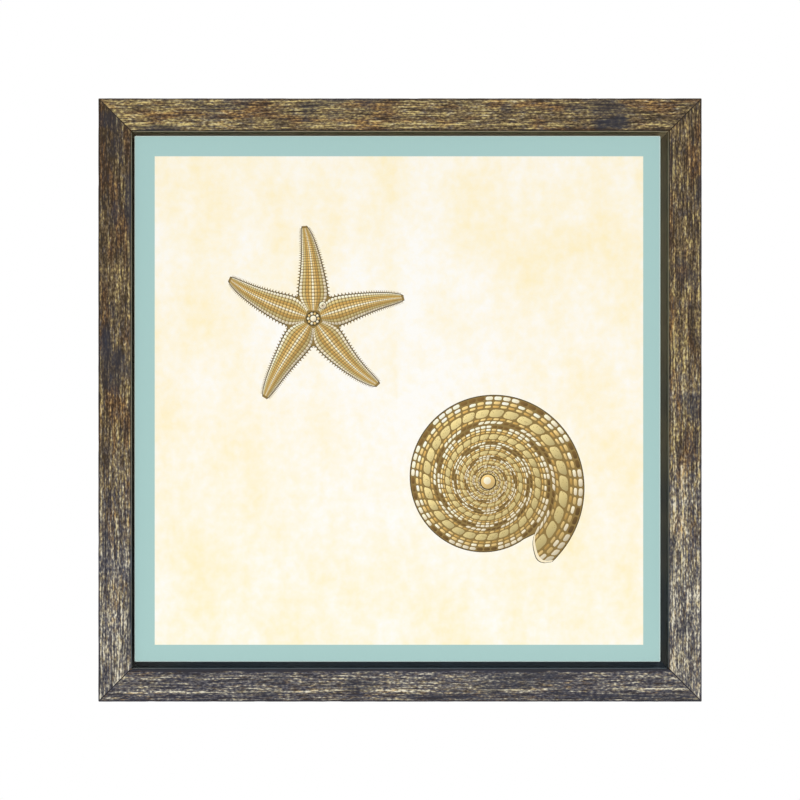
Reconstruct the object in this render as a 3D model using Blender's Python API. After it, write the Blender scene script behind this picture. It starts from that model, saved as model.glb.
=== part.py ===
"""A square canvas print in a wooden float frame, built to hang on a wall.

The picture faces -Y and stands upright along +Z. The origin is on the wall plane, at the notch of the
sawtooth hanger where the wall nail carries it. Dimensions are real ones, in metres.

A float frame is four mitred rails of an L-shaped moulding. Its wall shows a flat face to the front, and
its ledge carries the stretched canvas from behind, with a narrow gap all round the picture. Screws
through the ledge hold the stretcher, and a sawtooth hanger is nailed to the back of the top rail.
"""

import math

import bmesh
import bpy
from mathutils import Matrix

MM = 0.001

# Driving dimensions
CANVAS = 406.4 * MM  # a 16 in square print
CANVAS_DEPTH = 19.0 * MM  # front of the print to the back of the folded cloth
FACE = 25.6 * MM  # width of the rail's visible face
FLOAT_GAP = 4.2 * MM  # mean gap between print and rail
RECESS = 4.0 * MM  # the print lies this far behind the rail's face
LEDGE = 9.0 * MM  # thickness of the moulding's ledge
LEDGE_REACH = 18.0 * MM  # how far the ledge stands in from the rail's wall
BUMPER_THICK = 2.0 * MM  # keeps the frame off the wall
CLEAR = 0.3 * MM  # gap between pieces that touch

# The print sits a little left of centre and high in its frame
CANVAS_SHIFT_X = -2.0 * MM
CANVAS_SHIFT_Z = 0.9 * MM

# Canvas cloth
CLOTH = 0.6 * MM
CLOTH_CORNER = 1.6 * MM  # radius where the cloth turns round a corner of the stretcher
CLOTH_EDGE = 1.0 * MM  # radius of the print's front edge
FLAP = 26.0 * MM  # width of the cloth folded onto the back

# Stretcher bars
BAR_WIDTH = 38.0 * MM
BAR_LIP = 6.0 * MM  # the only part of the bar's front that touches the print
BAR_FALL = 3.0 * MM  # the front falls away this much towards the inside

# Rail edges
OUTER_EASE = 2.2 * MM
INNER_EASE = 1.6 * MM
BACK_EASE = 0.8 * MM
MITRE_GAP = 0.3 * MM

# Screws through the ledge, two to a rail
SCREW_REACH = 11.8 * MM  # from the rail's wall to the screw, along the ledge
SCREW_SPREAD = 120.0 * MM  # from the middle of the rail
SCREW_HEAD_R = 3.2 * MM
SCREW_SHANK_R = 1.7 * MM
SCREW_LENGTH = 20.0 * MM
SCREW_SINK = 0.2 * MM
DRIVEN_TURN = 0.37  # each screw stopped this many quarter turns after the last
RECESS_ARM = 1.9 * MM  # half length of the cross recess
RECESS_HALF_WIDTH = 0.42 * MM
RECESS_DEPTH = 1.1 * MM
ROUND_SIDES = 20

# Sawtooth hanger, from the top of the frame
HANGER_DROP = 20.0 * MM  # top edge of the frame to the notch that the nail sits in
HANGER_LENGTH = 47.0 * MM
HANGER_TAB = 7.5 * MM  # flat end that takes a nail
HANGER_RAMP = 1.4 * MM
HANGER_STEEL = 0.8 * MM
HANGER_HEIGHT = 8.4 * MM  # above the notches
TOOTH_DEPTH = 1.5 * MM
TOOTH_COUNT = 8
NAIL_HEAD_R = 1.9 * MM
NAIL_SHANK_R = 0.7 * MM
NAIL_LENGTH = 11.0 * MM
NAIL_HEAD_THICK = 0.7 * MM

# Bumpers
BUMPER_R = 6.0 * MM
BUMPER_UP = 14.0 * MM  # from the frame's lower edge to the bumper's centre
BUMPER_IN = 28.0 * MM  # from the frame's side, so that the pad is all on the bottom rail

# Worked out from the above
OUTER_HALF = CANVAS / 2 + FLOAT_GAP + FACE
FRAME_BACK = -BUMPER_THICK
LEDGE_FRONT = FRAME_BACK - LEDGE
CANVAS_BACK = LEDGE_FRONT - CLEAR
CANVAS_FRONT = CANVAS_BACK - CANVAS_DEPTH
FRAME_FRONT = CANVAS_FRONT - RECESS
FRAME_DEPTH = FRAME_BACK - FRAME_FRONT
CENTRE_Z = HANGER_DROP - OUTER_HALF
BAR_OUTER = CANVAS / 2 - CLOTH - CLEAR
BAR_BACK = CANVAS_BACK - CLOTH - CLEAR
BAR_THICK = CANVAS_DEPTH - 2 * (CLOTH + CLEAR)
SCREW_LINE = CANVAS / 2 + FLOAT_GAP - SCREW_REACH
SIDES = ("top", "right", "bottom", "left")


def clear_scene():
    for obj in list(bpy.data.objects):
        bpy.data.objects.remove(obj, do_unlink=True)


def make_material(name, colour, roughness, metallic=0.0):
    material = bpy.data.materials.new(name)
    material.use_nodes = True
    shader = material.node_tree.nodes["Principled BSDF"]
    shader.inputs["Base Color"].default_value = (*colour, 1.0)
    shader.inputs["Roughness"].default_value = roughness
    shader.inputs["Metallic"].default_value = metallic
    return material


def eased(corners, steps=4):
    """An outline whose corners (across, depth, radius) are turned into arcs."""
    outline = []
    for i, (u, d, radius) in enumerate(corners):
        if radius == 0:
            outline.append((u, d))
            continue
        before = corners[i - 1]
        after = corners[(i + 1) % len(corners)]
        away = [
            ((p[0] - u) / math.hypot(p[0] - u, p[1] - d), (p[1] - d) / math.hypot(p[0] - u, p[1] - d))
            for p in (before, after)
        ]
        for k in range(steps + 1):
            turn = k / steps * math.pi / 2
            back, on = radius * (1 - math.sin(turn)), radius * (1 - math.cos(turn))
            outline.append((u + back * away[0][0] + on * away[1][0], d + back * away[0][1] + on * away[1][1]))
    return outline


def loft(name, rings):
    """A closed mesh through rings of equal length, with a flat cap on the first and the last."""
    bm = bmesh.new()
    loops = [[bm.verts.new(point) for point in ring] for ring in rings]
    for first, second in zip(loops, loops[1:]):
        for i in range(len(first)):
            j = (i + 1) % len(first)
            bm.faces.new((first[i], first[j], second[j], second[i]))
    bm.faces.new(loops[0])
    bm.faces.new(loops[-1])
    bmesh.ops.recalc_face_normals(bm, faces=bm.faces)
    mesh = bpy.data.meshes.new(name)
    bm.to_mesh(mesh)
    bm.free()
    return mesh


def smooth(mesh, angle=30):
    mesh.shade_smooth()
    mesh.set_sharp_from_angle(angle=math.radians(angle))
    return mesh


def place(name, mesh, material, parent, location=(0, 0, 0), turn=0.0):
    """An object on its parent, turned about Y by a number of quarter turns."""
    if not mesh.materials:
        mesh.materials.append(material)
    obj = bpy.data.objects.new(name, mesh)
    bpy.context.scene.collection.objects.link(obj)
    obj.parent = parent
    obj.location = location
    obj.rotation_euler = (0, turn * math.pi / 2, 0)
    return obj


def make_cutter(name, meshes_at):
    """One hidden object made of several closed meshes, each at its own matrix."""
    bm = bmesh.new()
    for mesh, matrix in meshes_at:
        piece = mesh.copy()
        piece.transform(matrix)
        bm.from_mesh(piece)
        bpy.data.meshes.remove(piece)
    joined = bpy.data.meshes.new(name)
    bm.to_mesh(joined)
    bm.free()
    cutter = bpy.data.objects.new(name, joined)
    bpy.context.scene.collection.objects.link(cutter)
    cutter.hide_render = True
    cutter.display_type = "WIRE"
    return cutter


def cut(obj, cutter):
    modifier = obj.modifiers.new("cut_" + cutter.name, "BOOLEAN")
    modifier.operation = "DIFFERENCE"
    modifier.solver = "EXACT"
    modifier.object = cutter


def mitred_bar(name, profile, half, back, gap=MITRE_GAP):
    """The top bar of a square frame, centred on X = Z = 0: a profile run along X, cut at 45 degrees."""
    ends = []
    for side in (-1, 1):
        ends.append([(side * (half - u - gap / 2), back - d, half - u) for u, d in profile])
    return smooth(loft(name, ends))


def rail_profile():
    """The moulding's L section, as (distance in from the outer edge, distance forward of the back)."""
    ledge_edge = FACE + LEDGE_REACH
    return eased(
        [
            (0, 0, BACK_EASE),
            (ledge_edge, 0, BACK_EASE),
            (ledge_edge, LEDGE, BACK_EASE),
            (FACE, LEDGE, 0),
            (FACE, FRAME_DEPTH, INNER_EASE),
            (0, FRAME_DEPTH, OUTER_EASE),
        ]
    )


def stretcher_profile():
    """A bar that touches the print only along its outer lip."""
    return eased(
        [
            (0, 0, BACK_EASE),
            (BAR_WIDTH, 0, BACK_EASE),
            (BAR_WIDTH, BAR_THICK - BAR_FALL, BACK_EASE),
            (BAR_LIP, BAR_THICK, 0),
            (0, BAR_THICK, BACK_EASE),
        ]
    )


def square_ring(half, radius, y, steps=3):
    """A square of rounded corners in the plane of the picture."""
    ring = []
    for quarter in range(4):
        for k in range(steps + 1):
            angle = (quarter + k / steps) * math.pi / 2
            corner = (quarter + 0.5) * math.pi / 2
            x = math.copysign(half - radius, math.cos(corner)) + radius * math.cos(angle)
            z = math.copysign(half - radius, math.sin(corner)) + radius * math.sin(angle)
            ring.append((x, y, z))
    return ring


def canvas_mesh():
    """Cloth as a shallow tray: print, four turned sides, and the flaps folded onto the back."""
    half = CANVAS / 2
    flap_edge = half - FLAP
    tight = 0.2 * MM
    outside = []
    for k in range(4):
        turn = k / 3 * math.pi / 2
        inset = CLOTH_EDGE * (1 - math.sin(turn))
        forward = CLOTH_EDGE * (1 - math.cos(turn))
        outside.append(square_ring(half - inset, CLOTH_CORNER, CANVAS_FRONT + forward))
    inside_radius = CLOTH_CORNER - CLOTH
    return smooth(
        loft(
            "canvas",
            outside
            + [
                square_ring(half, CLOTH_CORNER, CANVAS_BACK),
                square_ring(flap_edge, tight, CANVAS_BACK),
                square_ring(flap_edge, tight, CANVAS_BACK - CLOTH),
                square_ring(half - CLOTH, inside_radius, CANVAS_BACK - CLOTH),
                square_ring(half - CLOTH, inside_radius, CANVAS_FRONT + CLOTH),
            ],
        )
    )


def turned(name, profile, sides=ROUND_SIDES):
    """A round piece about Y, from a profile of (radius, y)."""
    rings = []
    for radius, y in profile:
        angles = [2 * math.pi * k / sides for k in range(sides)]
        rings.append([(radius * math.cos(a), y, radius * math.sin(a)) for a in angles])
    return smooth(loft(name, rings))


def screw_profile(grow=0.0, proud=0.0):
    """A countersunk screw pointing towards -Y, its head flush at y = 0."""
    point = 3.0 * MM
    cone = SCREW_HEAD_R - SCREW_SHANK_R
    return [
        (SCREW_HEAD_R + grow, proud),
        (SCREW_HEAD_R + grow, -grow - 0.3 * MM),
        (SCREW_SHANK_R + grow, -grow - 0.3 * MM - cone),
        (SCREW_SHANK_R + grow, -SCREW_LENGTH + point),
        (0.3 * MM + grow, -SCREW_LENGTH - grow),
    ]


def cross_recess():
    """The plus-shaped hole that the driver fits, narrowing towards its bottom."""
    arm, width = RECESS_ARM, RECESS_HALF_WIDTH
    quarter = [(arm, -width), (arm, width), (width, width)]
    rings = []
    for y, scale in ((0.5 * MM, 1.0), (-RECESS_DEPTH, 0.7)):
        ring = []
        for k in range(4):
            c, s = round(math.cos(k * math.pi / 2)), round(math.sin(k * math.pi / 2))
            ring += [(scale * (a * c - b * s), y, scale * (a * s + b * c)) for a, b in quarter]
        rings.append(ring)
    return loft("cross_recess", rings)


def screw_mesh():
    """The screw with its recess cut, as one mesh that all the screws share."""
    blank = bpy.data.objects.new("screw_blank", turned("screw", screw_profile()))
    bpy.context.scene.collection.objects.link(blank)
    cutter = make_cutter("recess_cutter", [(cross_recess(), Matrix.Identity(4))])
    cut(blank, cutter)
    graph = bpy.context.evaluated_depsgraph_get()
    mesh = bpy.data.meshes.new_from_object(blank.evaluated_get(graph))
    for obj in (blank, cutter):
        bpy.data.objects.remove(obj, do_unlink=True)
    mesh.name = "screw"
    return smooth(mesh)


def hanger_mesh():
    """A steel strip with two flat tabs, a raised middle and a toothed lower edge, run along X."""
    half = HANGER_LENGTH / 2
    raised_half = half - HANGER_TAB - HANGER_RAMP
    tab_front = FRAME_BACK + CLEAR
    notch = 2 * raised_half / TOOTH_COUNT
    stations = [(-half, 0.0, tab_front), (-half + HANGER_TAB, 0.0, tab_front)]
    for k in range(2 * TOOTH_COUNT + 1):
        tip = TOOTH_DEPTH if k % 2 else 0.0
        stations.append((-raised_half + k * notch / 2, -tip, -HANGER_STEEL))
    stations += [(half - HANGER_TAB, 0.0, tab_front), (half, 0.0, tab_front)]
    rings = []
    for x, low, front in stations:
        back = front + HANGER_STEEL
        rings.append([(x, front, low), (x, back, low), (x, back, HANGER_HEIGHT), (x, front, HANGER_HEIGHT)])
    return loft("sawtooth_hanger", rings)


def nail_profile(grow=0.0, proud=0.0):
    """A small brad with a domed head that stands on the hanger's tab at y = 0."""
    head = [
        (0.9 * MM, NAIL_HEAD_THICK),
        (1.5 * MM, 0.75 * NAIL_HEAD_THICK),
        (NAIL_HEAD_R, 0.25 * NAIL_HEAD_THICK),
        (NAIL_HEAD_R, CLEAR / 2),
        (NAIL_SHANK_R, CLEAR / 2),
    ]
    shank = [(NAIL_SHANK_R + grow, -NAIL_LENGTH + 1.5 * MM), (0.2 * MM + grow, -NAIL_LENGTH - grow)]
    if grow:
        return [(NAIL_SHANK_R + grow, proud)] + shank
    return head + shank


def bumper_profile():
    """A soft pad with a rolled edge, whose face at y = 0 rests on the wall."""
    roll = 0.5 * MM
    glued = FRAME_BACK + CLEAR
    return [
        (BUMPER_R - roll, 0.0),
        (BUMPER_R - 0.3 * roll, -0.3 * roll),
        (BUMPER_R, -roll),
        (BUMPER_R, glued),
    ]


def screw_places():
    """Where the eight screws go, in the plane of the frame, top rail first."""
    places = []
    for quarter in range(4):
        turn = Matrix.Rotation(quarter * math.pi / 2, 4, "Y")
        for side in (-1, 1):
            places.append(turn @ Matrix.Translation((side * SCREW_SPREAD, 0, SCREW_LINE)))
    return places


def build():
    clear_scene()
    wood = make_material("stained_moulding", (0.12, 0.10, 0.07), 0.6)
    pine = make_material("stretcher_pine", (0.72, 0.55, 0.36), 0.65)
    cloth = make_material("printed_canvas", (0.97, 0.92, 0.78), 0.85)
    zinc = make_material("zinc_steel", (0.62, 0.62, 0.60), 0.35, 1.0)
    brass = make_material("brassed_steel", (0.66, 0.50, 0.24), 0.32, 1.0)
    felt = make_material("bumper_felt", (0.10, 0.09, 0.08), 0.95)

    frame = bpy.data.objects.new("frame_centre", None)
    frame.location = (0, 0, CENTRE_Z)
    picture = bpy.data.objects.new("picture_centre", None)
    picture.parent = frame
    picture.location = (CANVAS_SHIFT_X, 0, CANVAS_SHIFT_Z)
    for empty in (frame, picture):
        bpy.context.scene.collection.objects.link(empty)

    head_plane = Matrix.Translation((0, FRAME_BACK - SCREW_SINK, 0))
    centre = Matrix.Translation((0, 0, CENTRE_Z))
    drill = turned("drill", screw_profile(CLEAR, 1.0 * MM))
    screw_holes = make_cutter("screw_holes", [(drill, centre @ p @ head_plane) for p in screw_places()])

    tab_face = FRAME_BACK + CLEAR + HANGER_STEEL
    nail_x = HANGER_LENGTH / 2 - HANGER_TAB / 2
    nail_z = HANGER_HEIGHT / 2
    nail_drill = turned("nail_drill", nail_profile(CLEAR, 2.0 * MM), 12)
    nail_holes = make_cutter(
        "nail_holes",
        [(nail_drill, Matrix.Translation((side * nail_x, tab_face, nail_z))) for side in (-1, 1)],
    )

    rail = mitred_bar("rail", rail_profile(), OUTER_HALF, FRAME_BACK)
    bar = mitred_bar("stretcher_bar", stretcher_profile(), BAR_OUTER, BAR_BACK)
    for quarter, side in enumerate(SIDES):
        moulding = place("rail_" + side, rail, wood, frame, turn=quarter)
        cut(moulding, screw_holes)
        if side == "top":
            cut(moulding, nail_holes)
        cut(place("stretcher_" + side, bar, pine, picture, turn=quarter), screw_holes)
    cut(place("canvas", canvas_mesh(), cloth, picture), screw_holes)

    screw = screw_mesh()
    for number, matrix in enumerate(screw_places(), 1):
        spot = (matrix @ head_plane).translation
        place(f"screw_{number}", screw, zinc, frame, spot, turn=DRIVEN_TURN * number)

    hanger = place("sawtooth_hanger", hanger_mesh(), brass, None)
    cut(hanger, nail_holes)
    nail = turned("hanger_nail", nail_profile(), 12)
    bumper = turned("bumper", bumper_profile(), 28)
    for side, name in ((-1, "left"), (1, "right")):
        place("hanger_nail_" + name, nail, brass, None, (side * nail_x, tab_face, nail_z))
        corner = (side * (OUTER_HALF - BUMPER_IN), 0, BUMPER_UP - OUTER_HALF)
        place("bumper_" + name, bumper, felt, frame, corner)


build()
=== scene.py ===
# %% [markdown]
# # A canvas print in a float frame
#
# The object is a square print on stretched canvas that stands in an L-shaped moulding, with a narrow
# dark gap all round it. The solids already exist and carry the sizes. This lesson gives each of them
# the surface that the real piece has: brushed and stained wood, printed cloth, bare pine and steel.

# %% Load the solids
import math

import bpy
import numpy as np
from mathutils.geometry import delaunay_2d_cdt
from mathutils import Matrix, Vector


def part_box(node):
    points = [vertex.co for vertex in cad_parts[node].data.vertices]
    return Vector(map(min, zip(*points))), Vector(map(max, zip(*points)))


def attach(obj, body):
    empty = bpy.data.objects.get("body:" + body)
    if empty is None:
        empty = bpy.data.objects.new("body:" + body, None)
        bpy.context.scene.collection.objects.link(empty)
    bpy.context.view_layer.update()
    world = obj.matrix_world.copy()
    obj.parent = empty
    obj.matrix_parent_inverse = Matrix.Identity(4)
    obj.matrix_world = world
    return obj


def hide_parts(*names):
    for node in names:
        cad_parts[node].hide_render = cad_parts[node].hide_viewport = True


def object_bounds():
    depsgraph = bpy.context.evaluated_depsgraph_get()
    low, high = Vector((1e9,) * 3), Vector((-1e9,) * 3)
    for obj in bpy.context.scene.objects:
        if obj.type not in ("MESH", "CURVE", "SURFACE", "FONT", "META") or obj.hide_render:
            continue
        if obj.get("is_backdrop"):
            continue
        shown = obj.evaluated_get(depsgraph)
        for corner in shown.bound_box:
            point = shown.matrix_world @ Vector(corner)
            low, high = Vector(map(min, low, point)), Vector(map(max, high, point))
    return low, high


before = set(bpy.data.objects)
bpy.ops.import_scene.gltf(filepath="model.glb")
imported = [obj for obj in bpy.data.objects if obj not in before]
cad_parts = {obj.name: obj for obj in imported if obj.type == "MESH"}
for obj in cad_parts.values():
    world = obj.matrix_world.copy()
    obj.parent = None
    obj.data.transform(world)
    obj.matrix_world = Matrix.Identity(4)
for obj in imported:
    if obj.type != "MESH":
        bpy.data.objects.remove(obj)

solid_low, solid_high = (np.array(corner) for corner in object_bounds())
print("solids span", np.round((solid_high - solid_low) * 1000, 1), "mm")

# %% [markdown]
# ## Measures
#
# Every piece is placed from the solids, so nothing is fitted by eye. Widths run across the picture
# along X, heights along Z, and the picture faces -Y. A few sizes of the moulding's section aren't the
# side of any box, so they are named here as real sizes.

# %% Measures taken from the solids
MM = 0.001


def box_of(node):
    """Lowest and highest corner of one solid, as two arrays."""
    low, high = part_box(node)
    return np.array(low), np.array(high)


rail_low, rail_high = box_of("rail_top")
cloth_low, cloth_high = box_of("canvas")
CENTRE = (solid_low[[0, 2]] + solid_high[[0, 2]]) / 2
PRINT_CENTRE = (cloth_low[[0, 2]] + cloth_high[[0, 2]]) / 2
OUTER_HALF = (solid_high[0] - solid_low[0]) / 2
PRINT_HALF = (cloth_high[0] - cloth_low[0]) / 2
RAIL_BACK, RAIL_FRONT = rail_high[1], rail_low[1]
RAIL_DEPTH = RAIL_BACK - RAIL_FRONT
RAIL_WIDTH = rail_high[2] - rail_low[2]
CLOTH_FRONT, CLOTH_BACK = cloth_low[1], cloth_high[1]

FACE = 25.6 * MM  # the rail's visible face
LEDGE = 9.0 * MM  # thickness of the ledge behind the print
JOINT = 0.04 * MM  # a tight mitre, a hair wide
FLAP = 26.0 * MM  # cloth folded onto the back
print("print", round(PRINT_HALF * 2000, 1), "mm square, rail", round(RAIL_WIDTH * 1000, 1), "mm wide")

# %% [markdown]
# ## Colours and materials
#
# Colours are written as a painter would pick them on a screen, as sRGB hex values, and one function
# turns them into the linear light that a renderer works in. One more function adds a shader node with
# its settings and its links, and every material below is a chain of such calls. It could be split into
# a function for each kind of node, but then the kind would be hidden where the material is read.


# %% Helpers for colour
def linear(hex_colour):
    """Linear light of an sRGB hex value: a straight line near black, and a power of 2.4 above it."""
    value = np.array([int(hex_colour[i : i + 2], 16) for i in (1, 3, 5)]) / 255
    return np.where(value <= 0.04045, value / 12.92, ((value + 0.055) / 1.055) ** 2.4)


def rgba(hex_colour):
    """The same linear light with an opacity of one, as a colour socket wants it."""
    return (*linear(hex_colour), 1.0)


print("half grey on a screen is", round(float(linear("#808080")[0]), 3), "of white's light")


# %% Helpers for nodes
def plug(tree, node, inputs):
    """Sets a node's inputs: to values, or linked from a socket, or from another node's live output."""
    for socket, value in inputs.items():
        if isinstance(value, bpy.types.Node):
            value = next(output for output in value.outputs if output.enabled)
        if isinstance(value, bpy.types.NodeSocket):
            tree.links.new(value, node.inputs[socket])
        else:
            node.inputs[socket].default_value = value


def add(tree, kind, settings, inputs):
    """A new node with its own options and its inputs."""
    made = tree.nodes.new("ShaderNode" + kind)
    for name, value in settings.items():
        setattr(made, name, value)
    plug(tree, made, inputs)
    return made


def new_material(name, **constants):
    """A material with one Principled shader, whose constants are set on its own sockets."""
    material = bpy.data.materials.new(name)
    material.use_nodes = True
    shader = material.node_tree.nodes["Principled BSDF"]
    for socket, value in constants.items():
        shader.inputs[socket.replace("_", " ")].default_value = value
    print("material:", name)
    return material, material.node_tree, shader


print("nodes are added in Blender", bpy.app.version_string)

# %% Settings and noise that the materials share
FACTOR, FIRST, SECOND = 0, 6, 7  # input sockets of a Mix node that mixes colours
COLOURS = {"data_type": "RGBA", "clamp_factor": True}
TINTED = {"data_type": "RGBA", "clamp_factor": True, "blend_type": "MULTIPLY"}
STEP = {"interpolation_type": "SMOOTHSTEP"}
FLAT = {"noise_dimensions": "2D"}
SCALED = {"operation": "MULTIPLY"}
SCALED_AND_ADDED = {"operation": "MULTIPLY_ADD"}


def stretched_noise(tree, place, cells, settings, inputs):
    """Noise on a place, with cells as long as given along X, Y and Z: each axis is divided by its cell."""
    scale = tuple(1 / cell for cell in cells)
    stretched = add(tree, "Mapping", {}, {"Vector": place, "Scale": scale})
    return add(tree, "TexNoise", settings, {"Vector": stretched, "Scale": 1.0, **inputs})


print("colours are mixed at sockets", FACTOR, FIRST, "and", SECOND)

# %% [markdown]
# ## Noise, and meshes from arrays
#
# Worn wood isn't random everywhere: it has long fibres, so its noise is stretched along the grain.
# Value noise is the simplest kind. Random numbers stand on a lattice, and between them the value
# eases from one to the next. Adding a finer copy or two gives it the ragged look of real wear.
#
# The pieces could be modelled by hand, but then the wear couldn't shape them. So the points of each
# piece are worked out as one array and handed to Blender together, with the faces between them.


# %% Noise
def cloud(along, across, cell, seed):
    """Value noise from 0 to 1: lattice numbers, blended by 3t^2 - 2t^3 in each direction."""
    lattice = np.random.default_rng(seed).random((251, 241))
    places = (along / cell[0], across / cell[1])
    whole = [np.floor(place).astype(int) for place in places]
    ease = [(place - start) ** 2 * (3 - 2 * (place - start)) for place, start in zip(places, whole)]
    rows = [(whole[0] + step) % lattice.shape[0] for step in (0, 1)]
    columns = [(whole[1] + step) % lattice.shape[1] for step in (0, 1)]
    near = lattice[rows[0], columns[0]] * (1 - ease[1]) + lattice[rows[0], columns[1]] * ease[1]
    far = lattice[rows[1], columns[0]] * (1 - ease[1]) + lattice[rows[1], columns[1]] * ease[1]
    return near * (1 - ease[0]) + far * ease[0]


def ragged(along, across, cell, seed, copies=3):
    """Noise plus finer copies of itself, each half the size and 0.55 of the strength."""
    strengths = 0.55 ** np.arange(copies)
    layers = [
        strength * cloud(along * 2**k, across * 2**k, cell, seed + k)
        for k, strength in enumerate(strengths)
    ]
    return sum(layers) / strengths.sum()


print("noise at one place", round(float(cloud(0.1, 0.1, (0.03, 0.03), 1)), 3))


# %% Two curves for wear
def rise(value, start, end):
    """0 below start, 1 above end, and an even curve between them."""
    part = np.clip((value - start) / (end - start), 0, 1)
    return part * part * (3 - 2 * part)


def bell(value, middle, half_width):
    """1 in the middle, falling off as e to the minus square of the distance in half widths."""
    return np.exp(-(((value - middle) / half_width) ** 2))


print("a bell is", round(float(bell(1, 0, 1)), 2), "high at its half width")


# %% Meshes from arrays
def mesh_of(name, points, faces, materials):
    """A mesh. points is an array whose last axis is X, Y and Z, and faces a list of arrays."""
    mesh = bpy.data.meshes.new(name)
    listed = [face for block in faces for face in np.asarray(block).tolist()]
    mesh.from_pydata(np.asarray(points, float).reshape(-1, 3).tolist(), [], listed)
    for material in materials:
        mesh.materials.append(material)
    return mesh


def place_in_scene(name, data):
    """A new object made from a mesh, a lamp or a camera."""
    placed = bpy.data.objects.new(name, data)
    bpy.context.scene.collection.objects.link(placed)
    return placed


def make_piece(name, points, faces, materials, stands_for=()):
    """A mesh object that rides on the object's one body."""
    piece = place_in_scene(name, mesh_of(name, points, faces, materials))
    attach(piece, "root")
    if stands_for:
        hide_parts(*stands_for)
    print(name, "has", len(piece.data.polygons), "faces")
    return piece


# %% Grids, and faces that point out
def grid_faces(rows, columns, closed=True, start=0):
    """Quads between neighbouring rows of points, each row a closed loop if closed."""
    i = np.arange(rows - 1)[:, None]
    j = np.arange(columns if closed else columns - 1)[None, :]
    k = (j + 1) % columns
    quads = np.stack([i * columns + j, i * columns + k, (i + 1) * columns + k, (i + 1) * columns + j], -1)
    return quads.reshape(-1, 4) + start


def face_out(piece, sharp):
    """Smooth shading up to an angle in degrees, and faces that point out of the closed mesh.

    The volume is the sum over triangles of one sixth of a . (b x c), and it is negative inside out.
    """
    mesh = piece.data
    mesh.calc_loop_triangles()
    points = np.zeros(len(mesh.vertices) * 3)
    mesh.vertices.foreach_get("co", points)
    corners = np.zeros(len(mesh.loop_triangles) * 3, np.int32)
    mesh.loop_triangles.foreach_get("vertices", corners)
    a, b, c = points.reshape(-1, 3)[corners.reshape(-1, 3)].transpose(1, 0, 2)
    volume = (a * np.cross(b, c)).sum() / 6
    if volume < 0:
        mesh.flip_normals()
    mesh.shade_smooth()
    mesh.set_sharp_from_angle(angle=math.radians(sharp))
    print(piece.name, "encloses", round(abs(volume) * 1e6, 2), "cm3")
    return piece


print("a grid of 3 by 4 points, closed, has", len(grid_faces(3, 4)), "faces")

# %% [markdown]
# ## The moulding
#
# The rails are sticks of one moulding. A float frame's section is an L: the upright leg shows its
# narrow face to the room, and the foot runs behind the print and carries it. The section could be
# extruded and bevelled, but then its faces would stay flat. Here it is a path of points instead,
# carried along the rail on a fine grid, so that each point can be pushed in where the brush wore the
# soft grain away.


# %% A walk round a section
def walk_section(corners):
    """Points round a section, with the distance walked, the way out and the face each lies on.

    corners are (in from the outer edge, forward of the back, radius, spacing of the face that follows).
    A rounded corner is a quarter circle from one tangent point to the next.
    """
    places, faces = [], []
    for k, (u, d, radius, spacing) in enumerate(corners):
        corner = np.array([u, d])
        before, after = np.array(corners[k - 1][:2]), np.array(corners[(k + 1) % len(corners)][:2])
        back = (before - corner) / np.linalg.norm(before - corner)
        on = (after - corner) / np.linalg.norm(after - corner)
        turn = np.linspace(0, math.pi / 2, 6 if radius else 1)[:, None]
        arc = corner + radius * ((1 - np.sin(turn)) * back + (1 - np.cos(turn)) * on)
        end = after - on * corners[(k + 1) % len(corners)][2]
        count = max(int(np.linalg.norm(end - arc[-1]) / spacing), 2)
        straight = arc[-1] + np.linspace(0, 1, count + 1)[1:-1, None] * (end - arc[-1])
        places += [arc, straight]
        faces += [np.full(len(arc) + len(straight), k)]
    places, faces = np.concatenate(places), np.concatenate(faces)
    step = np.roll(places, -1, 0) - places
    walked = np.concatenate([[0], np.cumsum(np.linalg.norm(step, axis=1))])
    along = np.roll(places, -1, 0) - np.roll(places, 1, 0)
    out = np.stack([along[:, 1], -along[:, 0]], 1) / np.linalg.norm(along, axis=1)[:, None]
    return places, walked, out, faces


square = [(0, 0, 0, 0.5), (1, 0, 0, 0.5), (1, 1, 0, 0.5), (0, 1, 0, 0.5)]
print("a walk round a square of side 1 is", walk_section(square)[1][-1], "long")

# %% The section of the moulding
FINE, MEDIUM, COARSE = 0.45 * MM, 0.9 * MM, 3.0 * MM  # from point to point
BACK_ROUND, INNER_ROUND, OUTER_ROUND = 0.8 * MM, 1.6 * MM, 2.2 * MM  # radii of the edges
BACK, LEDGE_EDGE, LEDGE_FRONT, WALL, SHOWN, SIDE = range(6)  # the face that follows each corner
section, walked, outward, face_of = walk_section(
    [
        (0, 0, BACK_ROUND, COARSE),
        (RAIL_WIDTH, 0, BACK_ROUND, COARSE),
        (RAIL_WIDTH, LEDGE, BACK_ROUND, COARSE),
        (FACE, LEDGE, 0, 2 * MEDIUM),
        (FACE, RAIL_DEPTH, INNER_ROUND, FINE),
        (0, RAIL_DEPTH, OUTER_ROUND, MEDIUM),
    ]
)
FACE_IN, FACE_UP = section.T  # in from the outer edge, and forward of the back
at_front = FACE_UP > RAIL_DEPTH - 2.4 * MM  # the visible face with its two rounded edges
in_rebate = (face_of == LEDGE_FRONT) | (face_of == WALL)
arris_at = walked[:-1][face_of == SIDE][2]  # the middle of the rounded outer front edge
print("section has", len(section), "points over", round(walked[-1] * 1000, 1), "mm")
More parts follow.
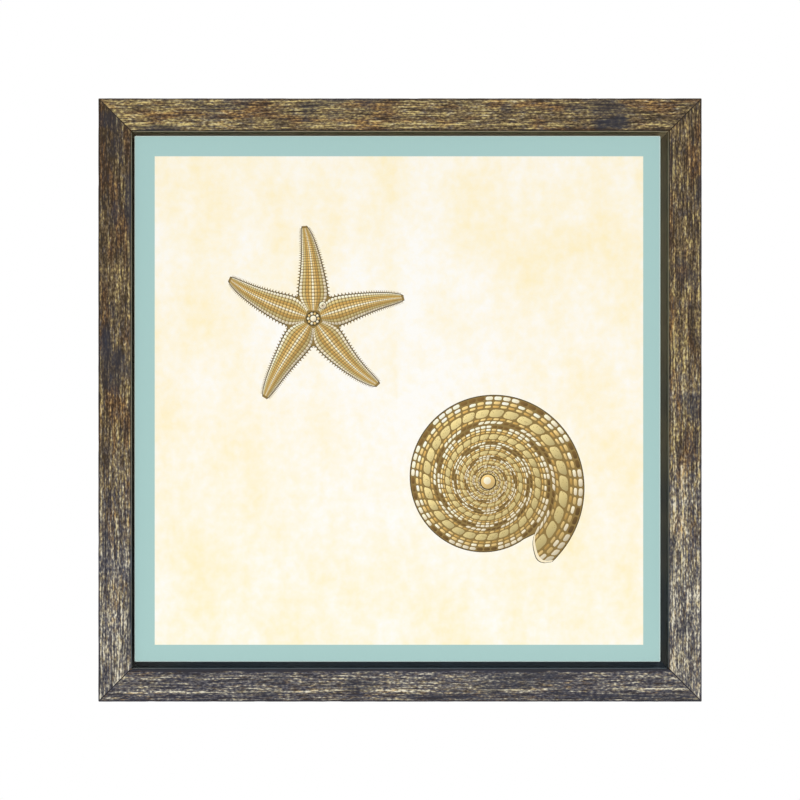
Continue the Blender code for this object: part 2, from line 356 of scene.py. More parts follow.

# %% [markdown]
# ## Brushed grain
#
# The maker ran a wire brush along the wood, stained it nearly black, and rubbed gold wax over it. The
# brush leaves grooves where the soft wood was, the stain settles in blots, and the wax only catches on
# what stands high. Bump in the material could show this from the front, but not along the edges, where
# the light grazes. So one set of fields drives both the shape and the colour: grooves are pushed in by
# a quarter of a millimetre, and the same numbers go to the material as an attribute. The same fields
# carry painted shade as well: on the rounded outer edge, on the inner edge where the face meets the
# gap, and in the rebate. Handwork isn't even, so each rail has its own wax, smudges, long streaks and
# painted shade, listed clockwise from the top rail.

# %% Each rail's own wear and painted shade
# Wax at the rail's start, middle and end
COAT = [(0.24, 0.08, -0.17), (-0.29, -0.01, 0.28), (-0.15, -0.05, -0.18), (0.33, -0.13, -0.66)]
# Painted shade at the inner edge, where the face meets the dark gap: strength, and reach in mm
INNER_EDGE_SHADE = [(0.9, 2.4), (0.5, 1.2), (2.8, 2.8), (0.7, 1.4)]
REBATE_SHADE = [0.0, 0.55, 0.35, 0.6]  # painted shade in each rebate: how much darker its paint is
WALL_TOP_SHADE = [0.9, 0.0, 1.0, 0.7]  # painted shade on the front of each rebate wall, just inside the face's inner edge
# Long streaks of gold, or of stain below zero: mm in from the edge at both ends, half width, strength
STREAKS = [
    [(20.5, 20.5, 1.2, 0.5), (15.5, 15.5, 1.5, -0.25)],
    [(9.5, 18.0, 1.2, 0.9), (21.3, 21.3, 1.0, 0.6), (7.5, 8.5, 1.5, -0.3)],
    [(10.3, 7.0, 0.9, 1.1), (4.6, 4.0, 2.2, -0.6), (19.0, 19.0, 1.0, 0.3)],
    [(2.0, 2.0, 0.5, 0.7), (15.0, 15.0, 1.3, 0.5), (24.0, 24.0, 0.9, 0.5), (6.0, 6.0, 2.2, -0.4)],
]
# Smudges: mm along the rail, mm in from its edge, half length, half width, and strength
SMUDGES = [
    [(160, 9, 19, 9, 0.65), (163, 19, 15, 6.5, 1.0), (82, 8, 5, 5, 0.5), (-51, 13, 7, 6, 0.45),
     (138, 8, 13, 3.5, 0.6), (-186, 23.5, 17, 3.5, 0.7)],
    [(8, 6, 10, 5, 0.7), (-105, 15, 6, 5, 0.45), (36, 7, 13, 6, 0.4), (119, 23.5, 20, 3.5, 0.6)],
    [(92, 15, 8, 4, 0.5), (-122, 8, 9, 5, 0.5), (-43, 4.3, 44, 3.2, 0.6), (-172, 4, 50, 2.8, 0.6)],
    [(42, 6, 16, 5, 0.8), (30, 15.5, 9, 7, 0.7), (70, 11, 6, 4, 0.5), (-108, 6.5, 8, 4, 0.6),
     (151, 24, 26, 3.5, 0.8), (-160, 25, 32, 2.5, 0.7)],
]
print(sum(map(len, SMUDGES)), "smudges and", sum(map(len, STREAKS)), "streaks")


# %% Wax, grooves and smudges
def wear_fields(x, around, number):
    """Wax, groove and blot at a distance along the rail and round its section.

    A groove is where the fibre noise is high, wax is a sum of noises less the groove, and a smudge
    is an ellipse whose edge is frayed by noise.
    """
    seed = 100 * (number + 1)
    waver = 1.4 * MM * (cloud(x, around, (34 * MM, 9 * MM), seed + 9) - 0.5)
    fibre = ragged(x, around + waver, (12 * MM, 1.3 * MM), seed)
    groove = rise(fibre, 0.50, 0.74)
    patch = ragged(x, around, (42 * MM, 12 * MM), seed + 20, 2)
    streak = ragged(x, around + waver, (11 * MM, 1.6 * MM), seed + 30)
    coat = np.interp(x, (-OUTER_HALF, 0, OUTER_HALF), COAT[number])
    wax = 0.5 + 0.9 * (streak - 0.5) + 0.4 * (patch - 0.5) - 0.25 * groove + coat
    blot = 0.6 * rise(ragged(x, around, (24 * MM, 15 * MM), seed + 40, 2), 0.62, 0.82)
    fray = 0.9 * (ragged(x, around, (9 * MM, 4 * MM), seed + 45, 2) - 0.5)
    for middle, inset, half_length, half_width, strength in SMUDGES[number]:
        away = np.hypot((x / MM - middle) / half_length, (FACE_IN / MM - inset) / half_width)
        blot = np.maximum(blot, at_front * strength * (1 - rise(away + fray, 0.5, 1.3)))
    return wax, groove, blot


plain_wax = wear_fields(np.zeros((1, 1)), walked[None, :-1], 0)[0]
print("wax across the middle of the top rail:", np.round([plain_wax.min(), plain_wax.max()], 2))


# %% Painted shade at the edges, streaks and the mitre
def spells(x, length, seed):
    """Noise that changes only along the rail, from one value to the next over a length."""
    return cloud(x, 0 * x, (length, 1.0), seed)


def edge_wear_and_shade(x, wax, groove, blot, number):
    """Painted shade at both edges, dark in the mitre, and gold rubbed along the ridges that the plane left.

    Painted shade rises towards an edge and fades over the next 1 to 3 mm, and each streak is a bell
    across the rail. Where the painted shade at the inner edge is stronger than one, the rest also
    darkens the groove and the blot and hides the wood.
    """
    seed = 100 * number
    wander = 2 * MM * (spells(x, 6 * MM, seed + 54) - 0.5)
    round_edge = rise(FACE_UP + wander, RAIL_DEPTH - 5 * MM, RAIL_DEPTH - MM)
    # Painted shade on the rounded outer front edge: full within 0.7 mm of the edge, gone at 1.4 mm
    rim = round_edge * rise(1.4 * MM - FACE_IN, 0.0, 0.7 * MM)
    here_and_there = rise(spells(x, 30 * MM, seed + 55), 0.45, 0.7)
    rubbed = at_front * 0.35 * bell(FACE_IN, 2.3 * MM, 0.7 * MM) * here_and_there
    for k, (first, last, half_width, strength) in enumerate(STREAKS[number]):
        runs = rise(spells(x, 38 * MM, seed + 60 + k), 0.15, 0.5)
        middle = np.interp(x, (-OUTER_HALF, OUTER_HALF), (first, last))
        rubbed = rubbed + at_front * strength * runs * bell(FACE_IN / MM, middle, half_width)
    # Painted shade along the inner edge, where the face meets the dark gap, as strong and wide as listed
    strength, reach = INNER_EDGE_SHADE[number]
    ragged_edge = FACE_IN + 0.4 * reach * MM * (spells(x, 9 * MM, seed + 66) - 0.5)
    stain = at_front * strength * rise(ragged_edge, FACE - reach * MM, FACE - 0.2 * reach * MM)
    to_mitre = OUTER_HALF - FACE_IN - JOINT / 2 - np.abs(x)
    joint = 1 - rise(to_mitre, 0.25 * MM, 0.7 * MM)
    # Both kinds of painted shade lower the wax level, so these edges take the darker tones
    wax = wax + 0.7 * rubbed - stain - 1.1 * rim - 1.6 * joint
    # Painted shade past full strength also darkens the groove and the blot
    pooled_shade = np.clip(stain - 1, 0, 1)
    return wax, np.clip(groove + joint + pooled_shade, 0, 1), np.maximum(blot, pooled_shade), joint


marked = edge_wear_and_shade(np.zeros((1, 1)), plain_wax, 0.0, 0.0, 0)[0]
print("and with its edges and streaks:", np.round([marked.min(), marked.max()], 2))

# %% The rail's grid of points
NEAR_MITRE = np.array([0, 0.3, 0.7, 1.2, 2.0]) * MM  # rows stand close here, for a sharp dark joint
ROWS = 301
DENT_DEPTH, JOINT_DEPTH = 0.45 * MM, 0.12 * MM
# How deep the grooves are on the brushed face and side, the painted wall, the sawn back and the ledge
GROOVE_DEPTH = np.select([face_of >= SHOWN, face_of == WALL, face_of == BACK], [0.26, 0.05, 0.08], 0.04) * MM


def rail_points(number):
    """Section places, pushed in by the relief, at each station along the rail.

    Relief is the groove's depth where the wood is soft or has no wax, plus dents in the outer edge
    and a slight fall into the mitre.
    """
    near = NEAR_MITRE / OUTER_HALF
    stations = np.concatenate([near - 1, np.linspace(-1, 1, ROWS)[2:-2], 1 - near[::-1]])[:, None]
    x = stations * (OUTER_HALF - FACE_IN - JOINT / 2)
    around = np.broadcast_to(walked[:-1], x.shape)
    wax, groove, blot = wear_fields(x, around, number)
    wax, groove, blot, joint = edge_wear_and_shade(x, wax, groove, blot, number)
    dents = rise(ragged(x, around, (16 * MM, 4 * MM), 100 * number + 77), 0.5, 0.75)
    worn = 0.75 * groove + 0.25 * (1 - np.clip(wax, 0, 1))
    relief = GROOVE_DEPTH * worn + DENT_DEPTH * bell(walked[:-1], arris_at, 1.6 * MM) * dents
    relief = relief + JOINT_DEPTH * joint
    u = FACE_IN - relief * outward[:, 0]
    d = FACE_UP - relief * outward[:, 1]
    return x, u, d, groove, wax, blot


print("a rail is a grid of", rail_points(0)[0].shape, "points")

# %% [markdown]
# ## The stain, the wax and the bare back
#
# Seen close, the stained face is four tones mixed by one level: nearly black stain in the pores, bare
# brushed wood, wax dragged over it, and polished wax on the highest fibres. Upper wood is golden and
# lower wood violet-grey, partly as the finish changes and partly as painted warm light from above and
# cool light from below, so each tone is a pair of colours. One noise between two browns could do from
# afar, but up close it looks printed, so the level adds two sizes of fibre to the wax from the mesh.
# Real fibres are a third of a millimetre wide, too fine to see from here, so they are drawn three to
# four times as wide. The rebate is painted and the back is left bare, as makers save their finish. The
# rebate's paint carries painted light and shade too: pale and warm at the top, cool below, darker in
# some rebates than others, and dark at the front of most walls.


# %% Fibres, and the tones of the stained face
def fibre_noise(tree, length, width, detail=3.0):
    """Noise drawn out along the unrolled rail: one cell is length along it and width across it."""
    unrolled = add(tree, "UVMap", {"uv_map": "unrolled"}, {})
    fineness = {"Detail": detail, "Roughness": 0.6}
    return stretched_noise(tree, unrolled, (length, width, 1.0), FLAT, fineness)


# Cool and warm colour of the pores, the bare wood, the dragged wax and the polished wax. Cool is low on
# the frame and warm is high: partly the finish, partly painted cool and warm light.
TONES = [("#2E2E3B", "#3C2E18"), ("#626065", "#766346"), ("#908A7C", "#9E8A57"), ("#E8E1CC", "#DAC582")]
TONE_STEPS = [(2.25, 3.0), (3.05, 3.4), (3.4, 4.0)]  # the levels between which each tone gives way


def wood_tones(tree, level, warmth_and_painted_light):
    """The four tones mixed by the level, each from cool to warm by the warm share: partly painted light."""
    pairs = []
    for cool, warm in TONES:
        pairs.append(add(tree, "Mix", COLOURS, {FACTOR: warmth_and_painted_light, FIRST: rgba(cool), SECOND: rgba(warm)}))
    colour = pairs[0]
    for tone, (start, end) in zip(pairs[1:], TONE_STEPS):
        share = add(tree, "MapRange", {}, {"Value": level, "From Min": start, "From Max": end})
        colour = add(tree, "Mix", COLOURS, {FACTOR: share, FIRST: colour, SECOND: tone})
    return colour


print(len(TONES), "tones, each cool and warm")

# %% Stain over the tones
VEIL, HOLLOW = 0.85, 0.4  # how much a smudge and a groove hide what lies under them


def stain_over(tree, colour, warmth_and_painted_light, groove, blot):
    """A rusty wash where the wood is warm, then ink-dark stain in the smudges and the grooves."""
    tea = fibre_noise(tree, 45 * MM, 11 * MM, 2.0)
    rusty = add(tree, "MapRange", STEP, {"Value": tea, "From Min": 0.48, "From Max": 0.66, "To Max": 0.5})
    rustier = add(tree, "Math", SCALED, {0: rusty, 1: warmth_and_painted_light})
    washed = add(tree, "Mix", TINTED, {FACTOR: rustier, FIRST: colour, SECOND: rgba("#EBB27C")})
    ink = add(tree, "Mix", COLOURS, {FACTOR: warmth_and_painted_light, FIRST: rgba("#292D3A"), SECOND: rgba("#282B38")})
    # Blot and groove also hold the painted shade at the inner edges, so it darkens the face here too
    veil = add(tree, "Math", SCALED, {0: blot, 1: VEIL})
    blotted = add(tree, "Mix", COLOURS, {FACTOR: veil, FIRST: washed, SECOND: ink})
    hollow = add(tree, "Math", SCALED, {0: groove, 1: HOLLOW})
    return add(tree, "Mix", COLOURS, {FACTOR: hollow, FIRST: blotted, SECOND: rgba("#221C18")})


print("a smudge hides", VEIL, "of the wood under it, and a groove", HOLLOW)

# %% The stained face
FIBRE_WEIGHT, FLECK_WEIGHT = 2.2, 2.8  # how much each size of fibre moves the level
DRIFT = 1.7  # how far fibres swing between cool and warm


def stained_moulding():
    """Wire-brushed softwood, stained dark and rubbed with gold wax: matt, with a silky gleam on the wax."""
    name = "brushed stained softwood"
    material, tree, shader = new_material(name, Roughness=0.6, IOR=1.5, Specular_IOR_Level=0.3)
    # Wear and painted light and shade from the mesh: wax, groove, blot and the warm share
    wear_and_shade = add(tree, "Attribute", {"attribute_name": "wear_and_shade"}, {})
    parts = add(tree, "SeparateColor", {}, {0: wear_and_shade.outputs["Color"]})
    wax, groove, blot = parts.outputs[0], parts.outputs[1], parts.outputs[2]

    fibres = fibre_noise(tree, 24 * MM, 1.1 * MM, 1.0)
    flecks = fibre_noise(tree, 3.0 * MM, 1.25 * MM, 1.5)
    fibrous = add(tree, "Math", SCALED_AND_ADDED, {0: fibres, 1: FIBRE_WEIGHT, 2: wax})
    level = add(tree, "Math", SCALED_AND_ADDED, {0: flecks, 1: FLECK_WEIGHT, 2: fibrous})
    # The warm share from the mesh is partly painted warm light from above and cool light from below
    tilt = fibre_noise(tree, 7 * MM, 1.5 * MM, 1.0)
    tilted = add(tree, "Math", SCALED_AND_ADDED, {0: tilt, 1: DRIFT, 2: wear_and_shade.outputs["Alpha"]})
    warmth_and_painted_light = add(tree, "Math", {"operation": "SUBTRACT", "use_clamp": True}, {0: tilted, 1: DRIFT / 2})
    stained = stain_over(tree, wood_tones(tree, level, warmth_and_painted_light), warmth_and_painted_light, groove, blot)

    sheen = {"Value": level, "From Min": 2.7, "From Max": 3.8, "To Min": 0.7, "To Max": 0.42}
    gleam = add(tree, "MapRange", {}, sheen)
    relief = add(tree, "Bump", {}, {"Strength": 0.6, "Distance": 0.14 * MM, "Height": fibres})
    plug(tree, shader, {"Base Color": stained, "Roughness": gleam, "Normal": relief})
    return material


stained_face = stained_moulding()


# %% The painted rebate
def rebate_paint():
    """Thin milk paint brushed into the rebate: matt, with painted light and shade on it."""
    material, tree, shader = new_material("rebate paint", Roughness=0.7, IOR=1.5)
    wear_and_shade = add(tree, "Attribute", {"attribute_name": "wear_and_shade"}, {})
    rebate_shades = add(tree, "SeparateColor", {}, {0: wear_and_shade.outputs["Color"]})
    # Painted light: pale and warm paint where the rebate is high, cool blue-grey where it is low
    ends = {FACTOR: wear_and_shade.outputs["Alpha"], FIRST: rgba("#6C8298"), SECOND: rgba("#E8D6B2")}
    painted_light_tint = add(tree, "Mix", COLOURS, ends)
    # Painted shade: each rebate's paint made darker by its own share
    darker = add(tree, "Mix", COLOURS, {FACTOR: rebate_shades.outputs[2], FIRST: painted_light_tint, SECOND: rgba("#6A6350")})
    strokes = fibre_noise(tree, 30 * MM, 1.5 * MM)
    thin = add(tree, "MapRange", STEP, {"Value": strokes, "From Min": 0.5, "From Max": 0.8, "To Max": 0.35})
    brushed = add(tree, "Mix", COLOURS, {FACTOR: thin, FIRST: darker, SECOND: rgba("#7D7361")})
    # Painted shade on the front few millimetres of each wall
    shaded_wall_top = add(tree, "Mix", COLOURS, {FACTOR: rebate_shades.outputs[1], FIRST: brushed, SECOND: rgba("#2A2620")})
    relief = add(tree, "Bump", {}, {"Strength": 0.4, "Distance": 0.08 * MM, "Height": strokes})
    plug(tree, shader, {"Base Color": shaded_wall_top, "Normal": relief})
    return material


painted_rebate = rebate_paint()


# %% The bare back
def finish_bare_wood(tree, shader, growth, pores, hexes, line_range, pore_share, strength):
    """Growth lines mixed over pale wood, then pores mixed over both, and the pores as relief."""
    pale, line, pore = (rgba(hex_colour) for hex_colour in hexes)
    lines = {"Value": growth, "From Min": line_range[0], "From Max": line_range[1]}
    specks = {"Value": pores, "From Min": 0.55, "From Max": 0.75, "To Max": pore_share}
    lined = {FACTOR: add(tree, "MapRange", STEP, lines), FIRST: pale, SECOND: line}
    wood = add(tree, "Mix", COLOURS, lined)
    specked = {FACTOR: add(tree, "MapRange", STEP, specks), FIRST: wood, SECOND: pore}
    relief = add(tree, "Bump", {}, {"Strength": strength, "Distance": 0.1 * MM, "Height": pores})
    plug(tree, shader, {"Base Color": add(tree, "Mix", COLOURS, specked), "Normal": relief})


def bare_back():
    """Planed softwood with no finish: pale, matt, with brown growth lines and short darker pores."""
    material, tree, shader = new_material("bare planed softwood", Roughness=0.75, IOR=1.5)
    growth = fibre_noise(tree, 160 * MM, 3.2 * MM)
    # Real pores are 0.2 mm wide, too fine to show, so they are drawn three times as wide
    pores = fibre_noise(tree, 9 * MM, 0.6 * MM)
    hexes = ("#DCC49B", "#C4A16F", "#8E6C43")
    finish_bare_wood(tree, shader, growth, pores, hexes, (0.42, 0.62), 0.45, 0.5)
    return material


bare_wood = bare_back()

# %% [markdown]
# ## Screw holes
#
# Eight screws come up through the moulding's foot, so its back needs eight countersunk holes. A hole is
# the one shape here that isn't a grid of points. It could be a ring of faces let into the grid, but an
# exact Boolean does that by itself: a turned solid, which is a profile carried round an axis, is taken
# away from the rail, and the result replaces the rail's mesh.

# %% Turned solids
TURNED_SIDES = 48


def circle(points):
    """A circle of radius one: cosine and sine of equal turns."""
    turn = np.linspace(0, 2 * math.pi, points, endpoint=False)
    return np.stack([np.cos(turn), np.sin(turn)], -1)


def turned(profile, centre, sides=TURNED_SIDES):
    """Points and faces of a profile turned round an axis along Y: its radius times a circle."""
    across, up = circle(sides).T
    radius, y = np.array(profile, float).T[..., None]
    points = [centre[0] + radius * across, y + 0 * across, centre[-1] + radius * up]
    caps = np.array([np.arange(sides)[::-1], np.arange(sides) + (len(profile) - 1) * sides])
    return np.stack(points, -1), [grid_faces(len(profile), sides), caps]


print("a turned cylinder has", sum(map(len, turned([(1, 0), (1, 1)], (0, 0))[1])), "faces")

# %% The drill and its use
CLEARANCE = 0.3 * MM
SHANK_RADIUS = 1.7 * MM
OVERSHOOT = 1.0 * MM  # the drill stands out of the wood by this much at both ends
DRILL_SIDES = 32


def screw_drill(material):
    """All the screw holes as one cutter, each wider than its screw by the clearance all round.

    From the head's radius to the shank's runs a cone that is as deep as the radii differ.
    """
    points, faces = [], []
    for low, high in [box_of(node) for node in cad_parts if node.startswith("screw_")]:
        head, shank = (high[0] - low[0]) / 2 + CLEARANCE, SHANK_RADIUS + CLEARANCE
        cone_top = high[1] - 2 * CLEARANCE
        outside = [(head, RAIL_BACK + OVERSHOOT), (head, cone_top)]
        inside = [(shank, cone_top - head + shank), (shank, RAIL_BACK - LEDGE - OVERSHOOT)]
        hole, hole_faces = turned(outside + inside, (low + high) / 2, DRILL_SIDES)
        faces += [face + len(points) * hole[..., 0].size for face in hole_faces]
        points.append(hole)
    print("drill has", len(points), "holes")
    return place_in_scene("drill", mesh_of("drill", np.concatenate(points), faces, [material]))


def bore(piece, drill):
    """Takes the drill's shape away from a piece, and keeps the result as its mesh."""
    hole = piece.modifiers.new("holes", "BOOLEAN")
    hole.operation, hole.solver, hole.object = "DIFFERENCE", "EXACT", drill
    graph = bpy.context.evaluated_depsgraph_get()
    bored = bpy.data.meshes.new_from_object(piece.evaluated_get(graph))
    piece.modifiers.clear()
    piece.data = bored
    print(piece.name, "bored, now", len(bored.polygons), "faces")


# %% [markdown]
# ## The four rails
#
# A frame maker saws four lengths from one stick and turns each by a quarter. One rail could be copied
# three times, but then its smudges would repeat at every corner. So each rail is worked out from its
# own wear and then turned, and the fibres in the material run on from one length to the next. Two maps
# go with the mesh: the marks of wear and of painted light and shade at its points, and the surface
# unrolled into a flat strip.


# %% A place turned to its side of the frame
def turn_to_side(x, outwards, quarter):
    """Top rail coordinates turned clockwise by quarter turns, as seen from the front."""
    for _ in range(quarter):
        x, outwards = outwards, -x
    return x, outwards


print("a place at the right turns to the bottom:", np.round(turn_to_side(OUTER_HALF, 0.0, 1), 3))

# %% Marks and the unrolled surface
STOCK_LENGTH = 0.7  # metres of the stick from the start of one rail to the start of the next


def store_wear_and_shade(mesh, x, up, wax, groove, blot, number):
    """Wax, groove, blot and the warm share at each point, as the four parts of one colour.

    The warm share rises with height, partly as the finish changes and partly as painted warm light from
    above and cool light from below, and drifts with noise. On the face, wax, groove and blot also carry
    the painted shade of the edges. In the rebate, groove holds painted shade on the front of each wall,
    and blot holds the painted shade of each rebate's paint.
    """
    # Painted shade on the front few millimetres of each rebate wall
    shaded_wall_top = WALL_TOP_SHADE[number] * rise(FACE_UP, RAIL_DEPTH - 4.5 * MM, RAIL_DEPTH - 2 * MM)
    groove = np.where(in_rebate, shaded_wall_top, groove)
    # Painted shade of each rebate's paint
    blot = np.where(in_rebate, REBATE_SHADE[number], blot)
    # Warm above and cool below: partly the finish, and partly painted warm light from above and cool light
    # from below
    drift = 0.5 * (cloud(x, up, (70 * MM, 25 * MM), 100 * number + 13) - 0.5)
    warmth_and_painted_light = np.clip(rise(up / OUTER_HALF, -0.95, 0.35) + drift, 0, 1)
    wear_and_shade = mesh.attributes.new("wear_and_shade", "FLOAT_COLOR", "POINT")
    wear_and_shade.data.foreach_set("color", np.stack([wax, groove, blot, warmth_and_painted_light], -1).ravel())


def store_unrolled(mesh, x, u, d, quads, ends, number):
    """A UV map in metres: along the stick, and walked round its section. The sawn ends lie as they are."""
    next_column = np.arange(x.shape[1])[:, None] + [0, 1, 1, 0]
    around = np.tile(walked[next_column].ravel(), len(x) - 1)
    sides = np.stack([x.ravel()[quads].ravel() + STOCK_LENGTH * number, around], -1)
    caps = np.stack([u.ravel()[np.ravel(ends)], d.ravel()[np.ravel(ends)]], -1)
    unrolled = mesh.uv_layers.new(name="unrolled")
    unrolled.uv.foreach_set("vector", np.concatenate([sides, caps]).ravel())


print("the stick is", 4 * STOCK_LENGTH, "m long")

# %% Build the rails
STAINED, PAINTED, BARE = range(3)


def build_rail(side, number, drill):
    """One rail: the grid turned to its side, three finishes on it, its maps, and its screw holes."""
    x, u, d, groove, wax, blot = rail_points(number)
    across, up = turn_to_side(x, OUTER_HALF - u, number)
    points = np.stack([across + CENTRE[0], RAIL_BACK - d, up + CENTRE[1]], -1)
    rows, columns = x.shape
    quads = grid_faces(rows, columns)
    ends = [np.arange(columns)[::-1], np.arange(columns) + (rows - 1) * columns]
    finishes = [stained_face, painted_rebate, bare_wood]
    piece = make_piece("moulding_" + side, points, [quads, ends], finishes, ["rail_" + side])
    finish = np.select([face_of >= SHOWN, in_rebate], [STAINED, PAINTED], BARE)
    slots = np.append(np.tile(finish, rows - 1), [BARE, BARE]).astype(np.int32)
    piece.data.polygons.foreach_set("material_index", slots)
    store_wear_and_shade(piece.data, x, up, wax, groove, blot, number)
    store_unrolled(piece.data, x, u, d, quads, ends, number)
    bore(piece, drill)
    return face_out(piece, sharp=60)


drill = screw_drill(bare_wood)
for number, side in enumerate(("top", "right", "bottom", "left")):
    build_rail(side, number, drill)
bpy.data.objects.remove(drill)

# %% [markdown]
# ## The print: flat inks, painted in order
#
# The picture is ink on cloth, so it has colour and no thickness. It could be a texture image, but an
# image blurs when you come close, and its edges never do here, because each ink is a shape of its own.
# The shapes are listed as a painter would lay them down. One triangulation then cuts the whole print
# along every outline, and each triangle takes the last ink that covers it. A slope makes a shape a
# little lighter towards the upper left, so that it looks round.

# %% How inks are laid down
TOWARDS_LIGHT = np.array([-0.6, 0.8])
ROUNDED = 0.3  # slope of an ink that should look like a bead
shapes = {"outline": [], "colour": [], "slope": []}


def lay(outlines, colour, slope=0.0):
    """Adds shapes to the print. outlines is (shapes, points, 2) in metres from the print's centre.

    Each outline runs anticlockwise: its shoelace area, half the sum of x1 z2 - x2 z1, is positive.
    """
    outlines = np.asarray(outlines, float)
    outlines = outlines[None] if outlines.ndim == 2 else outlines
    after = np.roll(outlines, -1, 1)
    area = (outlines[..., 0] * after[..., 1] - after[..., 0] * outlines[..., 1]).sum(1) / 2
    outlines[area < 0] = outlines[area < 0, ::-1]
    shapes["outline"] += list(outlines)
    shapes["colour"] += list(np.broadcast_to(colour, (len(outlines), 3)))
    shapes["slope"] += list(np.broadcast_to(slope, len(outlines)))


def lit(colour, amount):
    """A colour made lighter or darker by shares of itself, one for each shape."""
    return np.clip(np.asarray(colour) * (1 + np.asarray(amount))[..., None], 0, 1)


print("light comes from", TOWARDS_LIGHT)


# %% Plates
def plates(corners, fill, points=8):
    """A rounded plate in each cell of a grid of corners, which is (rows + 1, columns + 1, 2).

    In its cell a plate is a squarish ring: the cosine and the sine of an angle, each to the power of
    0.6, times fill. These two shares then mix the cell's four corners.
    """
    angle = np.linspace(0, 2 * math.pi, points, endpoint=False) + math.pi / points
    reach = np.abs([np.cos(angle), np.sin(angle)]) ** 0.6
    s, t = (1 + fill * reach * np.sign([np.cos(angle), np.sin(angle)])) / 2
    low, high = corners[:-1], corners[1:]
    four = [block.reshape(-1, 1, 2) for block in (low[:, :-1], high[:, :-1], low[:, 1:], high[:, 1:])]
    s, t = s[None, :, None], t[None, :, None]
    return four[0] * (1 - s) * (1 - t) + four[1] * s * (1 - t) + four[2] * (1 - s) * t + four[3] * s * t


print("a grid of 3 by 3 corners holds", len(plates(np.zeros((3, 3, 2)), 0.9)), "plates")

# %% The inks and the printed ground
LINE = linear("#46391A")
IVORY = linear("#FAEED2")
GOLD = linear("#E2C27F")
OCHRE = linear("#C49D55")
OLIVE = linear("#8C7440")
TAN = linear("#CDBB82")
UMBER = linear("#75592B")
TEAL = linear("#A8CCC9")
PAPER = linear("#FFFFFF")  # its tone is added by the material

PAPER_HALF = 188.7 * MM
PAPER_CENTRE = np.array([1.2, -1.3]) * MM  # the printed ground sits a little right and low
lay(PAPER_CENTRE + PAPER_HALF * np.array([[-1, -1], [1, -1], [1, 1], [-1, 1]]), PAPER)
print("ground", round(PAPER_HALF * 2000, 1), "mm square")

# %% [markdown]
# ## First motif: a sea star
#
# An arm of a sea star is a strip: one number runs out along it, and one runs across. It could be one
# outline with lines drawn on it, but its skeleton is rows of little plates, pale along the crest and
# at the margin. So the strip is cut into cells and each cell gets a plate. Cells stay about square,
# so the rows close up as the arm narrows.

# %% The arm as two numbers
STAR_RADIUS = 73.0 * MM
STAR_CENTRE = np.array([-65.0, 62.0]) * MM
ARM_BEND = np.array([0.10, -0.13, 0.08, 0.15, -0.09])  # radians at each tip
COLUMNS = 9


def arm_half_width(t):
    """Half the arm's width at share t of its length: a taper, or its fifth of the disc if narrower.

    The two are joined without a corner, as the minus fifth root of the sum of their minus fifth powers.
    """
    taper = STAR_RADIUS * (0.050 + 0.158 * (1 - t) ** 1.15) * np.sqrt(np.clip(1 - t**12, 0, 1))
    sector = t * STAR_RADIUS * math.tan(math.pi / 5) + 0.1 * MM
    return (taper**-5.0 + sector**-5.0) ** -0.2


def arm_point(arm, t, s, grow=0.0):
    """A place on an arm: out along its bent middle line by t, and across by s half widths."""
    heading = math.pi / 2 + arm * 2 * math.pi / 5 + ARM_BEND[arm] * t**2
    out = np.stack([np.cos(heading), np.sin(heading)], -1)
    across = np.stack([-out[..., 1], out[..., 0]], -1)
    width = np.maximum(arm_half_width(np.clip(t, 0.01, 0.9999)), 0.6 * MM)
    return STAR_CENTRE + (t * STAR_RADIUS)[..., None] * out + (s * (width + grow))[..., None] * across


rows = [0.085]
while rows[-1] < 0.955:
    rows.append(rows[-1] + 2.3 * float(arm_half_width(np.array(rows[-1]))) / COLUMNS / STAR_RADIUS)
ARM_ROWS = np.array(rows)
print(len(ARM_ROWS) - 1, "rows of", COLUMNS, "plates on each arm")


# %% Spines and rims of the arms
def lay_spines():
    """A thin triangle beside each margin plate: two feet on the arm's edge, and a tip 2.3 mm out."""
    begin, gap = ARM_ROWS[6:-1], np.diff(ARM_ROWS[6:])
    for arm in range(5):
        for side in (-1.0, 1.0):
            edge = np.full(len(begin), side)
            feet = [arm_point(arm, begin + share * gap, edge) for share in (0.15, 0.85)]
            lay(np.stack(feet + [arm_point(arm, begin + 0.016, edge, 2.3 * MM)], 1), OLIVE)


def lay_rims():
    """One outline round all five arms, out along each right edge and back along its left, laid twice."""
    t = np.linspace(0.25, 0.985, 40)
    for grow, ink in ((0.5 * MM, LINE), (-0.15 * MM, OLIVE)):
        sides = np.repeat([-1.0, 1.0], len(t))
        edges = [arm_point(arm, np.append(t, t[::-1]), sides, grow) for arm in range(5)]
        lay(np.concatenate(edges), ink)


lay_spines()
lay_rims()
print("spines and rims bring the inks to", len(shapes["outline"]))


# %% Plates of the arms
def lay_arms():
    """Plates in nine columns, lighter on the side of each arm that turns to the light."""
    chance = np.random.default_rng(5)
    even = np.linspace(-1, 1, COLUMNS + 1)
    s = np.sign(even) * np.abs(even) ** 1.1
    t = ARM_ROWS[:, None]
    tones = [IVORY * 0.86, TAN, OCHRE, GOLD, IVORY, GOLD, OCHRE, TAN, IVORY * 0.86]
    for arm in range(5):
        heading = math.pi / 2 + arm * 2 * math.pi / 5
        across = np.array([-math.sin(heading), math.cos(heading)])
        facing = 0.30 * (s[1:] + s[:-1]) / 2 * (across @ TOWARDS_LIGHT) + 0.02
        share = facing + chance.uniform(-0.09, 0.09, (len(t) - 1, COLUMNS))
        grid = arm_point(arm, t + 0 * s, s + 0 * t)
        lay(plates(grid, 0.86), lit(tones, share).reshape(-1, 3), ROUNDED)


lay_arms()
print("the arms bring the inks to", len(shapes["outline"]))


